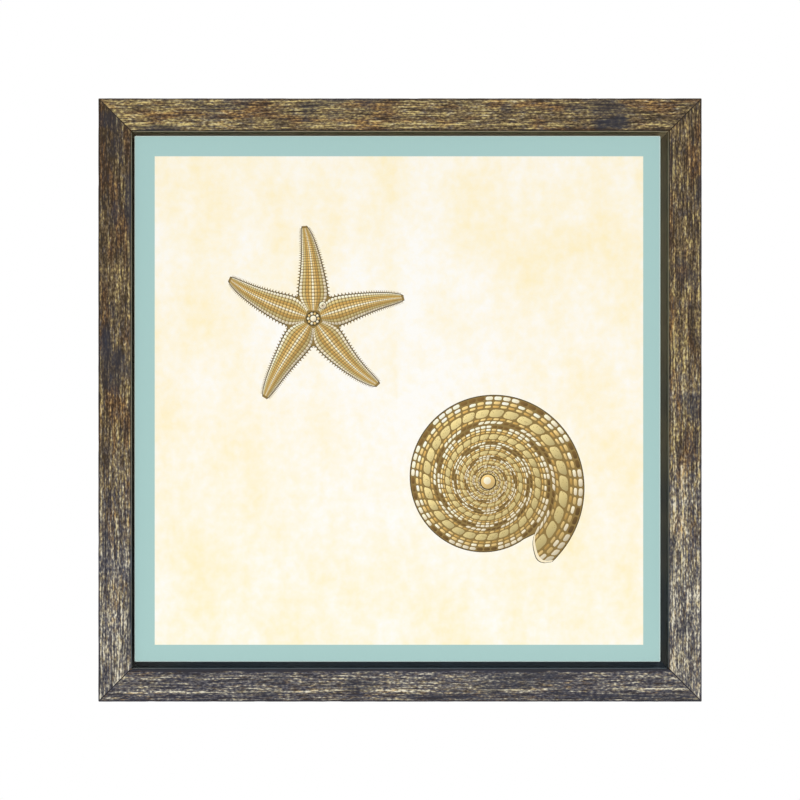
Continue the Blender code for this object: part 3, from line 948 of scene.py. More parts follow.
# %% Disc and sieve plate
def lay_disc():
    """Ten beads round a larger one in the middle, and beside them the ribbed plate that lets water in."""
    ring = circle(20)
    lay(STAR_CENTRE + 5.6 * MM * ring, LINE)
    for k, place in enumerate(STAR_CENTRE + 3.9 * MM * circle(10)):
        lay(place + 1.0 * MM * ring[::2], IVORY if k % 2 else GOLD, ROUNDED)
    lay(STAR_CENTRE + 2.3 * MM * ring, IVORY, ROUNDED)
    sieve = STAR_CENTRE + 12.5 * MM * np.array([math.cos(0.95), math.sin(0.95)])
    lay(sieve + 3.1 * MM * ring, LINE)
    lay(sieve + 2.6 * MM * ring, IVORY, ROUNDED)
    for heading in circle(10)[:5]:
        along, beside = 2.1 * MM * heading, 0.11 * MM * np.array([-heading[1], heading[0]])
        lay(sieve + np.array([-along - beside, along - beside, along + beside, beside - along]), UMBER)


lay_disc()
print("the disc brings the inks to", len(shapes["outline"]))

# %% [markdown]
# ## Second motif: a sundial shell
#
# Seen from its top, this shell is one tube wound on itself, and each turn is a fixed share smaller
# than the last, which makes its edge a logarithmic spiral. Along the tube run cords cut into beads.
# Rings would be simpler to draw, but a shell grows as a spiral and ends in a lip. A place on it is
# again two numbers: the angle wound, and the share across the tube.

# %% The tube as two numbers
SHELL_RADIUS = 79.0 * MM
SHELL_CENTRE = np.array([70.0, -64.0]) * MM
WHORL = 1.52  # each turn is this many times smaller than the one outside it
TURNS = 6.0
LIP_ANGLE = math.radians(-58)
SLANT = 0.16  # how far the ribs lean across the tube, in radians
LIP_CURVE = 0.12  # how far the lip's two ends fall back, in radians


def shell_point(theta, w):
    """A place theta round and w across the tube: the radius falls by WHORL for each turn or tube."""
    radius = SHELL_RADIUS * WHORL ** (-theta / (2 * math.pi) - (1 - w))
    angle = LIP_ANGLE + theta + SLANT * (1 - w) ** 2 + LIP_CURVE * (2 * w - 1) ** 4 * np.exp(-theta / 0.35)
    return SHELL_CENTRE + radius[..., None] * np.stack([np.cos(angle), np.sin(angle)], -1)


def lay_shell_rim():
    """The outer turn and the lip as one outline, laid twice: a dark one, and one inside it."""
    edge = shell_point(np.linspace(0, 2 * math.pi, 161), np.ones(161))
    lip = shell_point(np.zeros(10), np.linspace(0, 1, 12)[1:-1])
    centred = np.concatenate([edge, lip]) - SHELL_CENTRE
    for grow, ink in ((0.5 * MM, LINE), (-0.2 * MM, OLIVE)):
        lay(SHELL_CENTRE + centred * (1 + grow / np.linalg.norm(centred, axis=1))[:, None], ink)


lay_shell_rim()
print("the innermost turn starts", round(SHELL_RADIUS * WHORL**-TURNS / MM, 1), "mm from the middle")

# %% Bands of beads
# From and to across the tube, beads in each turn, their two inks, how many of each in a row, and size
BANDS = [
    (0.02, 0.15, 60, (IVORY, UMBER), (4, 3), 0.84),
    (0.17, 0.27, 60, (GOLD, OCHRE), (1, 1), 0.80),
    (0.29, 0.60, 30, (TAN, TAN), (1, 0), 0.90),
    (0.62, 0.71, 60, (GOLD, OCHRE), (1, 1), 0.80),
    (0.73, 0.84, 60, (IVORY, GOLD), (1, 1), 0.82),
    (0.86, 0.985, 60, (IVORY, UMBER), (4, 3), 0.86),
]
STRETCHES = [(0, 2, 1), (2, 4, 1.5), (4, TURNS, 2.5)]  # from turn, to turn, and how many times fewer beads


def lay_beads(chance):
    """Beads along each band, lighter towards the light and on the crest of the tube."""
    for first_turn, last_turn, fewer in STRETCHES:
        for low, high, each_turn, inks, run, fill in BANDS:
            count = int(each_turn / fewer * (last_turn - first_turn))
            theta = 2 * math.pi * np.linspace(first_turn, last_turn, count + 1)[:, None]
            across = np.array([low, high])
            grid = shell_point(theta + 0 * across, across + 0 * theta)
            first_ink = (np.arange(count) % sum(run)) < run[0]
            tone = np.where(first_ink[:, None], inks[0], inks[1])
            middle = (grid[:-1].mean(1) + grid[1:].mean(1)) / 2 - SHELL_CENTRE
            share = 0.30 * (middle @ TOWARDS_LIGHT) / SHELL_RADIUS + chance.uniform(-0.08, 0.08, count)
            crest = 0.24 * math.sin(math.pi * (low + high) / 2) - 0.10
            lay(plates(grid, fill, 8 if high - low < 0.2 else 12), lit(tone, share + crest), ROUNDED)


shell_chance = np.random.default_rng(8)
lay_beads(shell_chance)
print("beads bring the inks to", len(shapes["outline"]))

# %% Fine spots
SPOTS = 900


def lay_spots(chance):
    """Fine spots on the middle band of the outer three turns, smaller further in."""
    theta = chance.uniform(0, 2 * math.pi * 3, SPOTS)
    spots = shell_point(theta, chance.uniform(0.33, 0.56, SPOTS))
    size = 0.30 * MM * WHORL ** (-theta / (2 * math.pi) * 0.7)
    lay(spots[:, None] + size[:, None, None] * circle(5), OLIVE)


lay_spots(shell_chance)
print("spots bring the inks to", len(shapes["outline"]))


# %% The lip and the bead in the middle
def lay_lip_and_middle():
    """A dark line and a pale strip along the lip, and a round bead where the winding starts."""
    w = np.linspace(0.0, 1.0, 14)
    for begin, end, ink in ((-0.018, 0.0, LINE), (-0.008, 0.024, IVORY)):
        edges = [shell_point(np.full_like(w, begin), w), shell_point(np.full_like(w, end), w)[::-1]]
        lay(np.concatenate(edges), ink)
    ring = SHELL_RADIUS * WHORL**-TURNS * circle(24)
    lay(SHELL_CENTRE + ring, LINE)
    lay(SHELL_CENTRE + 0.86 * ring, GOLD, ROUNDED)
    lay(SHELL_CENTRE + 0.45 * ring + 0.15 * SHELL_RADIUS * WHORL**-TURNS * TOWARDS_LIGHT, IVORY, 0.2)


lay_lip_and_middle()
print("the sundial shell brings the inks to", len(shapes["outline"]))

# %% [markdown]
# ## From inks to cloth
#
# The cloth is one square cut, pulled over the stretcher. It could be a flat box with the picture on
# its front, but the gap shows its rounded fold, whose teal is paler as a painted highlight, and the
# back shows its flaps.
# Its front is the triangulated print. Round it go rings of points: over the front edge, down the side,
# round the back edge and in along the back to where the cloth is cut. A second set of rings follows
# 0.45 mm inside, so that the cloth is a closed sheet with a real thickness.

# %% One ring of the stretched cloth
CORNER = 0.9 * MM  # radius of the print's corners
SIDE_POINTS, ARC_POINTS = 16, 5


def square_ring(half, radius):
    """A square whose corners are quarter circles, anticlockwise from the lower end of its right side."""
    straight = np.linspace(-1, 1, SIDE_POINTS + 1)[:-1] * (half - radius)
    turn = np.linspace(0, math.pi / 2, ARC_POINTS)[:-1]
    side = np.stack([np.full(SIDE_POINTS, half), straight], -1)
    arc = (half - radius) + radius * np.stack([np.cos(turn), np.sin(turn)], -1)
    quarters = [np.concatenate([side, arc])]
    for _ in range(3):
        quarters.append(np.stack([-quarters[-1][:, 1], quarters[-1][:, 0]], -1))
    return np.concatenate(quarters)


def ring_radius(half):
    """The corner's radius shrinks with the ring, so that the folded corners meet in a mitre."""
    return max(CORNER - (PRINT_HALF - half), 0.25 * MM)


print("a ring has", len(square_ring(PRINT_HALF, CORNER)), "points")

# %% Half width and depth of every ring
THICK = 0.45 * MM
FRONT_EASE, BACK_EASE = 0.7 * MM, 1.2 * MM  # radii of the folds over the front and the back edge
FOLD_STEPS = 3
BLEED = 5.5 * MM  # the printed colour runs this far onto the back
quarter_turn = np.linspace(0, math.pi / 2, FOLD_STEPS + 1)
sine, cosine = np.sin(quarter_turn), np.cos(quarter_turn)
over_front = np.stack([PRINT_HALF - FRONT_EASE * (1 - sine), CLOTH_FRONT + FRONT_EASE * (1 - cosine)], 1)
over_back = np.stack([PRINT_HALF - BACK_EASE * (1 - cosine), CLOTH_BACK - BACK_EASE * (1 - sine)], 1)[1:]
side_depths = np.linspace(CLOTH_FRONT + FRONT_EASE, CLOTH_BACK - BACK_EASE, 4)[1:]
printed_rings = over_front.tolist() + [(PRINT_HALF, depth) for depth in side_depths] + over_back.tolist()
insets = (BLEED, 0.4 * FLAP, 0.6 * FLAP, 0.8 * FLAP, FLAP)
outer_rings = printed_rings + [(PRINT_HALF - inset, CLOTH_BACK) for inset in insets]
inner_rings = [
    (PRINT_HALF - FLAP, CLOTH_BACK - THICK),
    (PRINT_HALF - 0.6 * FLAP, CLOTH_BACK - THICK),
    (PRINT_HALF - BACK_EASE, CLOTH_BACK - THICK),
    (PRINT_HALF - THICK, CLOTH_BACK - BACK_EASE),
    (PRINT_HALF - THICK, CLOTH_FRONT + FRONT_EASE),
    (PRINT_HALF - FRONT_EASE, CLOTH_FRONT + THICK),
]
rings = np.array(outer_rings + inner_rings)  # each ring is its half width and its depth
OUTSIDE = len(outer_rings)
print(OUTSIDE, "rings outside and", len(inner_rings), "inside")


# %% The print cut along its inks
def triangulate(rim):
    """Cuts the print along every ink. Gives places, triangles, the last ink on each, and the rim."""
    counts = np.array([len(outline) for outline in shapes["outline"]])
    starts = len(rim) + np.concatenate([[0], np.cumsum(counts)])[:-1]
    listed = [list(range(start, start + count)) for start, count in zip(starts.tolist(), counts.tolist())]
    points = np.concatenate([rim] + shapes["outline"])
    whole = delaunay_2d_cdt(points.tolist(), [], listed, 0, 1e-6, True)
    places, triangles = np.array([list(place) for place in whole[0]]), np.array(whole[2])
    last_ink = np.array([max(covering, default=-1) for covering in whole[5]])
    given, shared = np.concatenate(whole[3]).astype(int), [len(sources) for sources in whole[3]]
    found = np.zeros(len(points), int)
    found[given] = np.repeat(np.arange(len(places)), shared)
    return places, triangles, last_ink, found[: len(rim)]


loops = [square_ring(half, ring_radius(half)) for half, _ in rings]
places, triangles, last_ink, rim = triangulate(loops[0])
print("the print is cut into", len(triangles), "triangles")

# %% Colour of each corner
FOLD_HIGHLIGHT_TEAL = linear("#CDE4E0")  # painted highlight: a paler teal where the cloth turns over the front edge
INK_TINT = 0.3  # the ground takes all of the paper's tone, the inks on it this much, the teal none


def ink_corners():
    """Ink at each corner of each triangle, and how far the paper's tone tints it.

    The ink is its colour times 1 + slope x lean, where lean is the corner's distance from the
    shape's middle towards the light, in shares of the shape's half width.
    """
    outlines = shapes["outline"]
    colour = np.array([TEAL] + shapes["colour"])[last_ink + 1]
    slope = np.array([0.0] + shapes["slope"])[last_ink + 1]
    middle = np.array([[0.0, 0.0]] + [outline.mean(0) for outline in outlines])[last_ink + 1]
    half_width = np.array([1.0] + [np.ptp(outline, 0).max() / 2 for outline in outlines])[last_ink + 1]
    lean = ((places[triangles] - middle[:, None]) @ TOWARDS_LIGHT) / half_width[:, None]
    inked = colour[:, None] * (1 + slope[:, None] * lean)[..., None]
    paper = np.select([last_ink == 0, last_ink > 0], [1.0, INK_TINT], 0.0)
    share = np.broadcast_to(paper[:, None, None], inked.shape[:2] + (1,))
    return np.concatenate([inked, share], -1).reshape(-1, 4)


print("teal border in", int((last_ink < 0).sum()), "triangles")

# %% The cloth spread flat
steps = np.hypot(*np.diff(rings, axis=0).T)
walked_out = np.append(0, np.cumsum(steps[: OUTSIDE - 1]))
walked_back = np.cumsum(steps[OUTSIDE - 1 :])
flat_half = PRINT_HALF - FRONT_EASE + np.append(walked_out, walked_out[-1] - walked_back)


def flat_corners():
    """The cut cloth in metres: each ring is a square as far out as the cloth that leads to it is long."""
    flats = np.stack([square_ring(half, 0.5 * MM) for half in flat_half])
    next_point = (np.arange(flats.shape[1])[:, None] + [0, 1, 1, 0]) % flats.shape[1]
    ring_step = np.arange(len(rings) - 1)[:, None, None] + [0, 0, 1, 1]
    strips = flats[ring_step, next_point[None]]
    return np.concatenate([places[triangles].reshape(-1, 2), strips.reshape(-1, 2), loops[-1]])


print("the flat cut reaches", round(flat_half.max() * 1000, 1), "mm from the middle")

# %% Both sides laid out for one image
PRINT_SHARE, INNER_SHARE = 0.76, 0.132  # the print's width on each side of the cloth, in image widths
OUTER_MIDDLE, INNER_MIDDLE = 0.43, 0.93


def laid_apart():
    """The same corners laid out for one image, so that no face covers another.

    The outer side of the cloth is one large square, and the inner side, which only shows its weave, is
    a small square beside it. The turned part has half the scale of the print.
    """
    scale = PRINT_SHARE / (2 * PRINT_HALF)
    outer = scale * (flat_half[0] + 0.5 * (flat_half[:OUTSIDE] - flat_half[0]))
    inner = INNER_SHARE / 2 / PRINT_HALF * (flat_half[0] + 0.5 * (walked_back[-1] - walked_back))
    begin = np.concatenate([outer, inner[:-1]])[:, None, None]
    end = np.concatenate([outer[1:], [outer[-1] + 0.002], inner[1:]])[:, None, None]
    here = square_ring(1.0, 0.003)
    there = np.roll(here, -1, 0)
    on_outer = np.arange(len(begin)) < OUTSIDE
    middles = np.where(on_outer, OUTER_MIDDLE, INNER_MIDDLE)[:, None, None, None]
    strips = np.stack([begin * here, begin * there, end * there, end * here], 2) + middles
    printed = scale * places[triangles].reshape(-1, 2) + OUTER_MIDDLE
    return np.concatenate([printed, strips.reshape(-1, 2), inner[-1] * here + INNER_MIDDLE])


print("the print takes", PRINT_SHARE, "of the image's width")


# %% Folded corners
def corner_lifts():
    """How far each ring point moves in or out: the back flaps overlap in a step along each mitre."""
    lifts = []
    for loop, (_, depth) in zip(loops, rings):
        on_back = rise(depth, CLOTH_BACK - 2 * THICK, CLOTH_BACK - 1.2 * THICK)
        side_on = np.abs(loop[:, 0]) > np.abs(loop[:, 1])
        from_corner = np.abs(np.abs(loop[:, 0]) - np.abs(loop[:, 1]))
        under = side_on * (1 - rise(from_corner, 12 * MM, 40 * MM))
        ripple = cloud(loop[:, 0] + 1, loop[:, 1] + 1, (21 * MM, 21 * MM), 61)
        lifts.append(-on_back * (0.28 * MM * under + 0.08 * MM * ripple))
    return lifts


print("flaps step by up to", round(-min(lift.min() for lift in corner_lifts()) * 1000, 2), "mm")


# %% [markdown]
# ## Ink on cotton
#
# The print is matt pigment ink on primed cotton canvas. Its paper ground is a printed effect: warm
# patches two to five centimetres across, with finer clouds in them, and nearly white in the middle.
# Behind, the cloth is bare: unbleached cotton, whose threads show. Real threads are half a millimetre
# apart, too fine to see from here, so the weave is drawn at 1.1 mm. It could be threads of their own,
# but a print this size has eight hundred each way, so it is a height in the material. Once both sides
# have their finish, the rings and the triangles are joined into one mesh.

# %% The printed side of the cloth
WEAVE = 1.1 * MM


def weave_height(tree, cut):
    """Height of a plain weave: a wave across the warp times one across the weft, high where both are."""
    spacing = {"Vector": cut, "Scale": math.pi / 10 / WEAVE}
    warp = add(tree, "TexWave", {"bands_direction": "X"}, spacing)
    weft = add(tree, "TexWave", {"bands_direction": "Y"}, spacing)
    return add(tree, "Math", SCALED, {0: warp.outputs["Fac"], 1: weft.outputs["Fac"]})


def printed_cotton():
    """Pigment ink on primed cotton canvas: matt, with a printed ground like old paper."""
    material, tree, shader = new_material("printed cotton canvas", Roughness=0.82, IOR=1.45)
    inks = add(tree, "Attribute", {"attribute_name": "inks"}, {})
    cut = add(tree, "UVMap", {"uv_map": "flat cut"}, {})
    fineness = {"Detail": 4.0, "Roughness": 0.6}
    patch = stretched_noise(tree, cut, (42 * MM, 75 * MM, 1.0), FLAT, fineness)
    cloudy = add(tree, "TexNoise", FLAT, {"Vector": cut, "Scale": 1 / (8 * MM), **fineness})
    away = add(tree, "VectorMath", {"operation": "LENGTH"}, {0: cut})
    outer = add(tree, "MapRange", STEP, {"Value": away, "From Min": 0.02, "From Max": 0.18})

    both = add(tree, "Math", SCALED_AND_ADDED, {0: cloudy, 1: 0.6, 2: patch})
    drift = add(tree, "Math", SCALED_AND_ADDED, {0: outer, 1: 0.28, 2: both})
    warm = add(tree, "MapRange", {}, {"Value": drift, "From Min": 0.705, "From Max": 1.405})
    tone = add(tree, "Mix", COLOURS, {FACTOR: warm, FIRST: rgba("#FFFDF8"), SECOND: rgba("#FFF1C7")})
    soaked = {FACTOR: inks.outputs["Alpha"], FIRST: inks.outputs["Color"], SECOND: tone}
    aged = add(tree, "Mix", TINTED, soaked)
    relief = {"Strength": 0.25, "Distance": 0.06 * MM, "Height": weave_height(tree, cut)}
    plug(tree, shader, {"Base Color": aged, "Normal": add(tree, "Bump", {}, relief)})
    return material


inked_side = printed_cotton()


# %% The bare side of the cloth
def bare_cotton():
    """Unbleached cotton duck: oatmeal, matt, with its weave and a few darker slubs."""
    material, tree, shader = new_material("bare cotton canvas", Roughness=0.92, IOR=1.45)
    cut = add(tree, "UVMap", {"uv_map": "flat cut"}, {})
    threads = weave_height(tree, cut)
    slubs = stretched_noise(tree, cut, (14 * MM, WEAVE, 1.0), FLAT, {})
    slubby = add(tree, "MapRange", STEP, {"Value": slubs, "From Min": 0.5, "From Max": 0.8, "To Max": 0.5})
    weave = add(tree, "Mix", COLOURS, {FACTOR: threads, FIRST: rgba("#B9AB8F"), SECOND: rgba("#E9DFC9")})
    colour = add(tree, "Mix", COLOURS, {FACTOR: slubby, FIRST: weave, SECOND: rgba("#C2B291")})
    relief = add(tree, "Bump", {}, {"Strength": 0.7, "Distance": 0.2 * MM, "Height": threads})
    plug(tree, shader, {"Base Color": colour, "Normal": relief})
    return material


bare_side = bare_cotton()


# %% Build the cloth
def build_cloth(materials):
    """The stretched print as one closed sheet, with its inks and its flat cut stored on its corners."""
    front = np.insert(places, 1, CLOTH_FRONT, axis=1)
    ringed = zip(loops[1:], rings[1:, 1], corner_lifts()[1:])
    around = [np.stack([loop[:, 0], depth + lift, loop[:, 1]], -1) for loop, depth, lift in ringed]
    points = np.concatenate([front] + around) + [PRINT_CENTRE[0], 0, PRINT_CENTRE[1]]

    count = len(rim)
    ring = len(front) + np.arange(count)
    first = np.stack([rim, np.roll(rim, -1), np.roll(ring, -1), ring], -1)
    later = grid_faces(len(rings) - 1, count, start=len(front))
    inside = ring[None] + (len(rings) - 2) * count
    faces = [triangles, first, later, inside]
    piece = make_piece("stretched_print", points, faces, materials, ["canvas"])
    mesh = piece.data

    # Finish 0 is the printed side, and finish 1 is the bare cloth that starts past the bleed
    raw = np.repeat(np.arange(len(rings) - 1) >= len(printed_rings), count)
    slots = np.concatenate([np.zeros(len(triangles)), raw, [1]]).astype(np.int32)
    mesh.polygons.foreach_set("material_index", slots)
    elsewhere = np.tile(np.append(TEAL, 0.0), (4 * len(raw) + count, 1))
    # Painted highlight: the faces over the front fold take the paler teal
    elsewhere[: 4 * FOLD_STEPS * count, :3] = FOLD_HIGHLIGHT_TEAL
    inks = mesh.attributes.new("inks", "FLOAT_COLOR", "CORNER")
    inks.data.foreach_set("color", np.concatenate([ink_corners(), elsewhere]).clip(0, 1).ravel())
    # The second map, OFBake, lays both sides of the cloth apart for one image. The map
    # called OFBake is the one that the export paints the colours into
    for name, corners in (("flat cut", flat_corners()), ("OFBake", laid_apart())):
        mesh.uv_layers.new(name=name).uv.foreach_set("vector", corners.ravel())
    return face_out(piece, sharp=50)


print_on_cloth = build_cloth([inked_side, bare_side])

# %% [markdown]
# ## Behind the print: pine, zinc, brass and felt
#
# The stretcher is four bars of planed pine. The solids already have its true shape, so they only get
# new materials. A solid can't be turned to suit the grain, so there are two pines: one whose growth
# lines run along X for the level bars, and one along Z for the upright bars. Object coordinates are
# metres here, because every solid keeps its place in its mesh.


# %% Bare pine for the stretcher bars
def grained_noise(tree, cells, detail):
    """Noise on Object coordinates, which run in metres from the object's origin."""
    place = add(tree, "TexCoord", {}, {})
    fineness = {"Detail": detail, "Roughness": 0.55}
    return stretched_noise(tree, place.outputs["Object"], cells, {}, fineness)


def planed_pine(name, upright):
    """Planed pine, unfinished: pale yellow, matt, with orange-brown late wood in long lines."""
    material, tree, shader = new_material(name, Roughness=0.72, IOR=1.5)
    # The pores are drawn 0.9 mm wide, four times as wide as real ones, so that they show
    line_cell, pore_cell = (230 * MM, 5 * MM, 4.2 * MM), (14 * MM, 0.9 * MM, 0.9 * MM)
    if upright:
        line_cell, pore_cell = line_cell[::-1], pore_cell[::-1]
    growth, pores = grained_noise(tree, line_cell, 3.0), grained_noise(tree, pore_cell, 2.0)
    hexes = ("#E6D0A6", "#CDA871", "#A77C4A")
    finish_bare_wood(tree, shader, growth, pores, hexes, (0.47, 0.60), 0.4, 0.4)
    return material


def dress(nodes, material):
    """Gives solids that keep their shape a finished material in place of their plain one."""
    for node in nodes:
        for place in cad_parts[node].material_slots:
            place.material = material
    print(material.name, "on", ", ".join(nodes))


dress(["stretcher_top", "stretcher_bottom"], planed_pine("planed pine, level grain", False))
dress(["stretcher_left", "stretcher_right"], planed_pine("planed pine, upright grain", True))

# %% [markdown]
# ## Fastenings
#
# The screws are steel with a bright zinc plate, and the hanger and its nails are brassed steel. One
# even shine could stand for them, but they were tumbled with hundreds of others, so their shine is
# broken: the noise goes to the roughness, where the eye sees it as smears and scuffs, and only a
# little to the colour. Real scratches are finer than a tenth of a millimetre, too fine to show, so they
# are drawn a quarter of a millimetre wide.


# %% Plated steel
def plated_steel(name, bright, dull, polish, tarnish):
    """Plated steel, tumbled in a barrel: a metal whose shine is broken by smears and fine scratches."""
    material, tree, shader = new_material(name, Metallic=1.0)
    smears = grained_noise(tree, (2.5 * MM, 2.5 * MM, 2.5 * MM), 3.0)
    scratches = grained_noise(tree, (4 * MM, 0.25 * MM, 0.25 * MM), 1.0)
    dulled = {"Value": smears, "From Min": 0.35, "From Max": 0.75, "To Max": 0.6}
    patches = add(tree, "MapRange", STEP, dulled)
    colour = add(tree, "Mix", COLOURS, {FACTOR: patches, FIRST: rgba(bright), SECOND: rgba(dull)})
    both = add(tree, "Math", SCALED_AND_ADDED, {0: scratches, 1: 0.4, 2: smears})
    shine = {"Value": both, "From Min": 0.5, "From Max": 0.95, "To Min": polish, "To Max": tarnish}
    relief = add(tree, "Bump", {}, {"Strength": 0.25, "Distance": 0.03 * MM, "Height": scratches})
    rough = add(tree, "MapRange", {}, shine)
    plug(tree, shader, {"Base Color": colour, "Roughness": rough, "Normal": relief})
    return material


zinc = plated_steel("bright zinc plate", "#D5D8DA", "#B4B6B3", 0.24, 0.48)
brass = plated_steel("brassed steel", "#DCC183", "#C0A062", 0.24, 0.44)
dress([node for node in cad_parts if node.startswith("screw_")], zinc)
dress(["sawtooth_hanger", "hanger_nail_left", "hanger_nail_right"], brass)

# %% [markdown]
# ## Staples and V-nails
#
# Two more fastenings have no solid of their own, because they are slips of bent steel. Staples hold
# the cloth's flaps to the stretcher, and V-nails were pressed across each mitre from behind. They could
# be bent from thin boxes one by one, but both are a flat strip along a path, so one function makes
# them: the path lies in a plane, and the strip's width stands across it.


# %% Bent strips
def bent_strip(path, width, thick):
    """Corners of a strip along a path, as (points, 4, 3).

    From each point, half the thickness to both sides along the path's normal, and half the width up
    and down.
    """
    path = np.array(path, float)
    along = np.gradient(path, axis=0)
    normal = np.stack([-along[:, 1], along[:, 0]], 1) / np.linalg.norm(along, axis=1)[:, None]
    sides = path[:, None] + 0.5 * thick * np.array([-1, 1, 1, -1])[:, None] * normal[:, None]
    across = np.broadcast_to(0.5 * width * np.array([-1, -1, 1, 1]), sides.shape[:2])
    return np.concatenate([sides, across[..., None]], -1)


def strips_piece(name, strip, frames, material):
    """One mesh of many like strips. frames is (strips, 4, 3): each one's place and its three axes."""
    frames = np.array(frames)
    places = frames[:, None, None, 0] + np.einsum("pci,sij->spcj", strip, frames[:, 1:])
    quads = grid_faces(len(strip), 4)
    ends = np.array([[3, 2, 1, 0], np.arange(4) + 4 * (len(strip) - 1)])
    shift = 4 * len(strip) * np.arange(len(frames))[:, None, None]
    piece = make_piece(name, places, (np.concatenate([quads, ends]) + shift), [material])
    return face_out(piece, sharp=40)


# %% Staples in the flaps
STAPLE_CROWN, STAPLE_LEG, STAPLE_WIRE = 10.0 * MM, 1.6 * MM, (1.2 * MM, 0.5 * MM)
STAPLE_BEND = 0.7 * MM
STAPLE_LINE = 182.5 * MM  # from the print's centre
STAPLE_RAISE = 0.24 * MM  # from the cloth to the middle of the wire
bend = np.linspace(0, math.pi / 2, 5)
corner = STAPLE_BEND * np.stack([1 - np.cos(bend), np.sin(bend)], 1) - [STAPLE_CROWN / 2, STAPLE_BEND]
half_staple = np.concatenate([[[-STAPLE_CROWN / 2, -STAPLE_LEG]], corner])
staple_path = np.concatenate([half_staple, half_staple[::-1] * [-1, 1]])

# Eight to a side, each a little askew, as a stapler drives them
chance = np.random.default_rng(21)
staple_frames = []
for quarter in range(4):
    for spot in np.linspace(-165, 165, 8) * MM:
        tilt = math.radians(chance.uniform(-14, 14)) + quarter * math.pi / 2
        slide, sink = chance.uniform(-3, 3) * MM, chance.uniform(-1.2, 1.2) * MM
        x, z = turn_to_side(spot + slide, STAPLE_LINE + sink, quarter)
        place = (PRINT_CENTRE[0] + x, CLOTH_BACK + STAPLE_RAISE, PRINT_CENTRE[1] + z)
        along, across = (math.cos(tilt), 0, -math.sin(tilt)), (math.sin(tilt), 0, math.cos(tilt))
        staple_frames.append([place, along, (0, 1, 0), across])
strips_piece("flap_staples", bent_strip(staple_path, *STAPLE_WIRE), staple_frames, zinc)

# %% V-nails across the mitres
WING = 7.0 * MM  # length of each half of the V
PLATE = (6.0 * MM, 0.4 * MM)  # width and thickness
PROUD = 0.12 * MM  # how far it stands out of the wood
wings = np.linspace(1, 0, 4)[:-1, None] * [WING, 0]
nail_path = np.concatenate([wings, [[0, 0]], wings[::-1, ::-1]])
nail_frames = []
for quarter in range(4):
    for inset in (12.0 * MM, 29.0 * MM):
        x, z = turn_to_side(OUTER_HALF - inset, OUTER_HALF - inset, quarter)
        east, south = turn_to_side(-1.0, 0.0, quarter), turn_to_side(0.0, -1.0, quarter)
        place = (CENTRE[0] + x, RAIL_BACK + PROUD - PLATE[0] / 2, CENTRE[1] + z)
        nail_frames.append([place, (east[0], 0, east[1]), (south[0], 0, south[1]), (0, 1, 0)])
strips_piece("mitre_v_nails", bent_strip(nail_path, *PLATE), nail_frames, zinc)

# %% [markdown]
# ## Felt bumpers
#
# Two discs of pressed felt keep the lower corners off the wall. Plain cylinders would do from afar, but
# felt is soft, so its edge is round and its face lumpy. The disc is a profile turned about its axis,
# and cloud noise moves its points by a tenth of a millimetre. Sheen stands for the loose fibres. One
# wool fibre is far too fine to show, so the pattern is of tufts half a millimetre wide.


# %% Felt
def pressed_felt():
    """Pressed wool felt: dark, very matt, with paler fibres and a soft sheen at grazing angles."""
    constants = {"Roughness": 0.97, "IOR": 1.45, "Sheen_Weight": 0.5, "Sheen_Roughness": 0.4}
    material, tree, shader = new_material("pressed wool felt", **constants)
    tufts = grained_noise(tree, (0.5 * MM, 0.5 * MM, 0.5 * MM), 3.0)
    pale = add(tree, "MapRange", STEP, {"Value": tufts, "From Min": 0.45, "From Max": 0.72})
    colour = add(tree, "Mix", COLOURS, {FACTOR: pale, FIRST: rgba("#2A2724"), SECOND: rgba("#5B554E")})
    relief = add(tree, "Bump", {}, {"Strength": 0.8, "Distance": 0.2 * MM, "Height": tufts})
    plug(tree, shader, {"Base Color": colour, "Normal": relief})
    return material


felt = pressed_felt()

# %% Bumpers
FELT_EASE, FELT_LUMP = 0.7 * MM, 0.12 * MM


def build_bumper(node, material):
    """A disc with a round shoulder, whose points noise moves in by up to an eighth of a millimetre."""
    low, high = box_of(node)
    radius = (high[0] - low[0]) / 2
    turn = np.linspace(0, math.pi / 2, 6)
    face = np.stack([np.linspace(0.06, 1, 12)[:-1] * (radius - FELT_EASE), np.full(11, high[1])], 1)
    shoulder = [radius - FELT_EASE * (1 - np.sin(turn)), high[1] - FELT_EASE * (1 - np.cos(turn))]
    wall = [[radius, (RAIL_BACK + high[1]) / 2], [radius, RAIL_BACK], [0.1 * radius, RAIL_BACK]]
    profile = np.concatenate([face, np.stack(shoulder, 1), wall])
    points, faces = turned(profile, (low + high) / 2)
    across, up = (profile[:, :1, None] * circle(TURNED_SIDES)).transpose(2, 0, 1)
    lump = cloud(across + 1, up + profile[:, 1:] + 1, (1.3 * MM, 1.3 * MM), 91)
    points[..., 1] -= FELT_LUMP * lump * (points[..., 1] > RAIL_BACK + 0.5 * MM)
    piece = make_piece("felt_" + node, points, faces, [material], [node])
    return face_out(piece, sharp=60)


for node in ("bumper_left", "bumper_right"):
    build_bumper(node, felt)

# %% [markdown]
# ## Camera and light
#
# The picture was photographed square on, so the camera is level with the frame's centre and far away,
# with a long lens. The light is that of a white studio: even from all round, with one wide soft lamp
# at the upper right that brings out the relief, and a weaker one behind for the views of the back.
# The floor is a plain pale disc, as the picture hangs well above it.

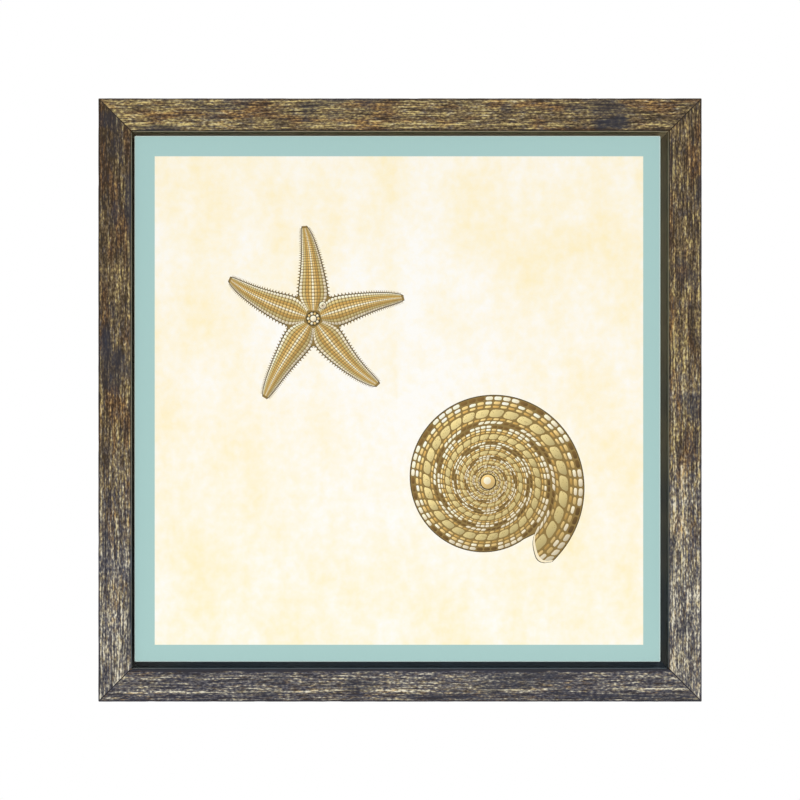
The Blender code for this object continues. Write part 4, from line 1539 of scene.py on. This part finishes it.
# %% Camera
DISTANCE = 3.0  # metres from the print
IMAGE_WIDTH = 800 * 406.4 * MM / 526  # the print spans 526 of the image's 800 pixels
SENSOR = 36.0  # width in mm
camera_data = bpy.data.cameras.new("camera")
camera_data.sensor_width = SENSOR
camera_data.lens = SENSOR * DISTANCE / IMAGE_WIDTH
camera = place_in_scene("camera", camera_data)
camera.location = (CENTRE[0], CLOTH_FRONT - DISTANCE, CENTRE[1])
camera.rotation_euler = (math.pi / 2, 0, 0)
bpy.context.scene.camera = camera
bpy.context.scene.view_settings.view_transform = "Standard"
print("lens", round(camera_data.lens, 1), "mm")

# %% Light
world = bpy.data.worlds.new("white studio")
world.use_nodes = True
backdrop = world.node_tree.nodes["Background"]
backdrop.inputs["Color"].default_value = (1, 1, 1, 1)
# The backdrop is seen as pure white, and lights the frame with 0.62 of that
seen = add(world.node_tree, "LightPath", {}, {})
shown = {"Value": seen.outputs["Is Camera Ray"], "To Min": 0.62, "To Max": 1.0}
plug(world.node_tree, backdrop, {"Strength": add(world.node_tree, "MapRange", {}, shown)})
bpy.context.scene.world = world


def soft_sun(name, strength, pitch, turn):
    """A far, wide lamp, so that its light is as strong on every part of the picture."""
    sun_data = bpy.data.lights.new(name, "SUN")
    sun_data.energy = strength
    sun_data.angle = math.radians(25)
    place_in_scene(name, sun_data).rotation_euler = (math.radians(pitch), 0, math.radians(turn))
    print(name, "set")


soft_sun("key from the upper right", 1.38, 50, 28)
soft_sun("fill from behind", 0.9, 50, 200)

# %% Floor
FLOOR_DROP, FLOOR_RADIUS, FLOOR_SIDES = 0.25, 1.2, 96
floor_rim = np.insert(FLOOR_RADIUS * circle(FLOOR_SIDES), 2, solid_low[2] - FLOOR_DROP, axis=1)
floor_paint, _, _ = new_material("pale floor", Base_Color=rgba("#F2F1EE"), Roughness=0.9)
floor = place_in_scene("floor", mesh_of("floor", floor_rim, [[np.arange(FLOOR_SIDES)]], [floor_paint]))
floor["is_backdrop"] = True
print("floor", FLOOR_DROP, "m below the frame")
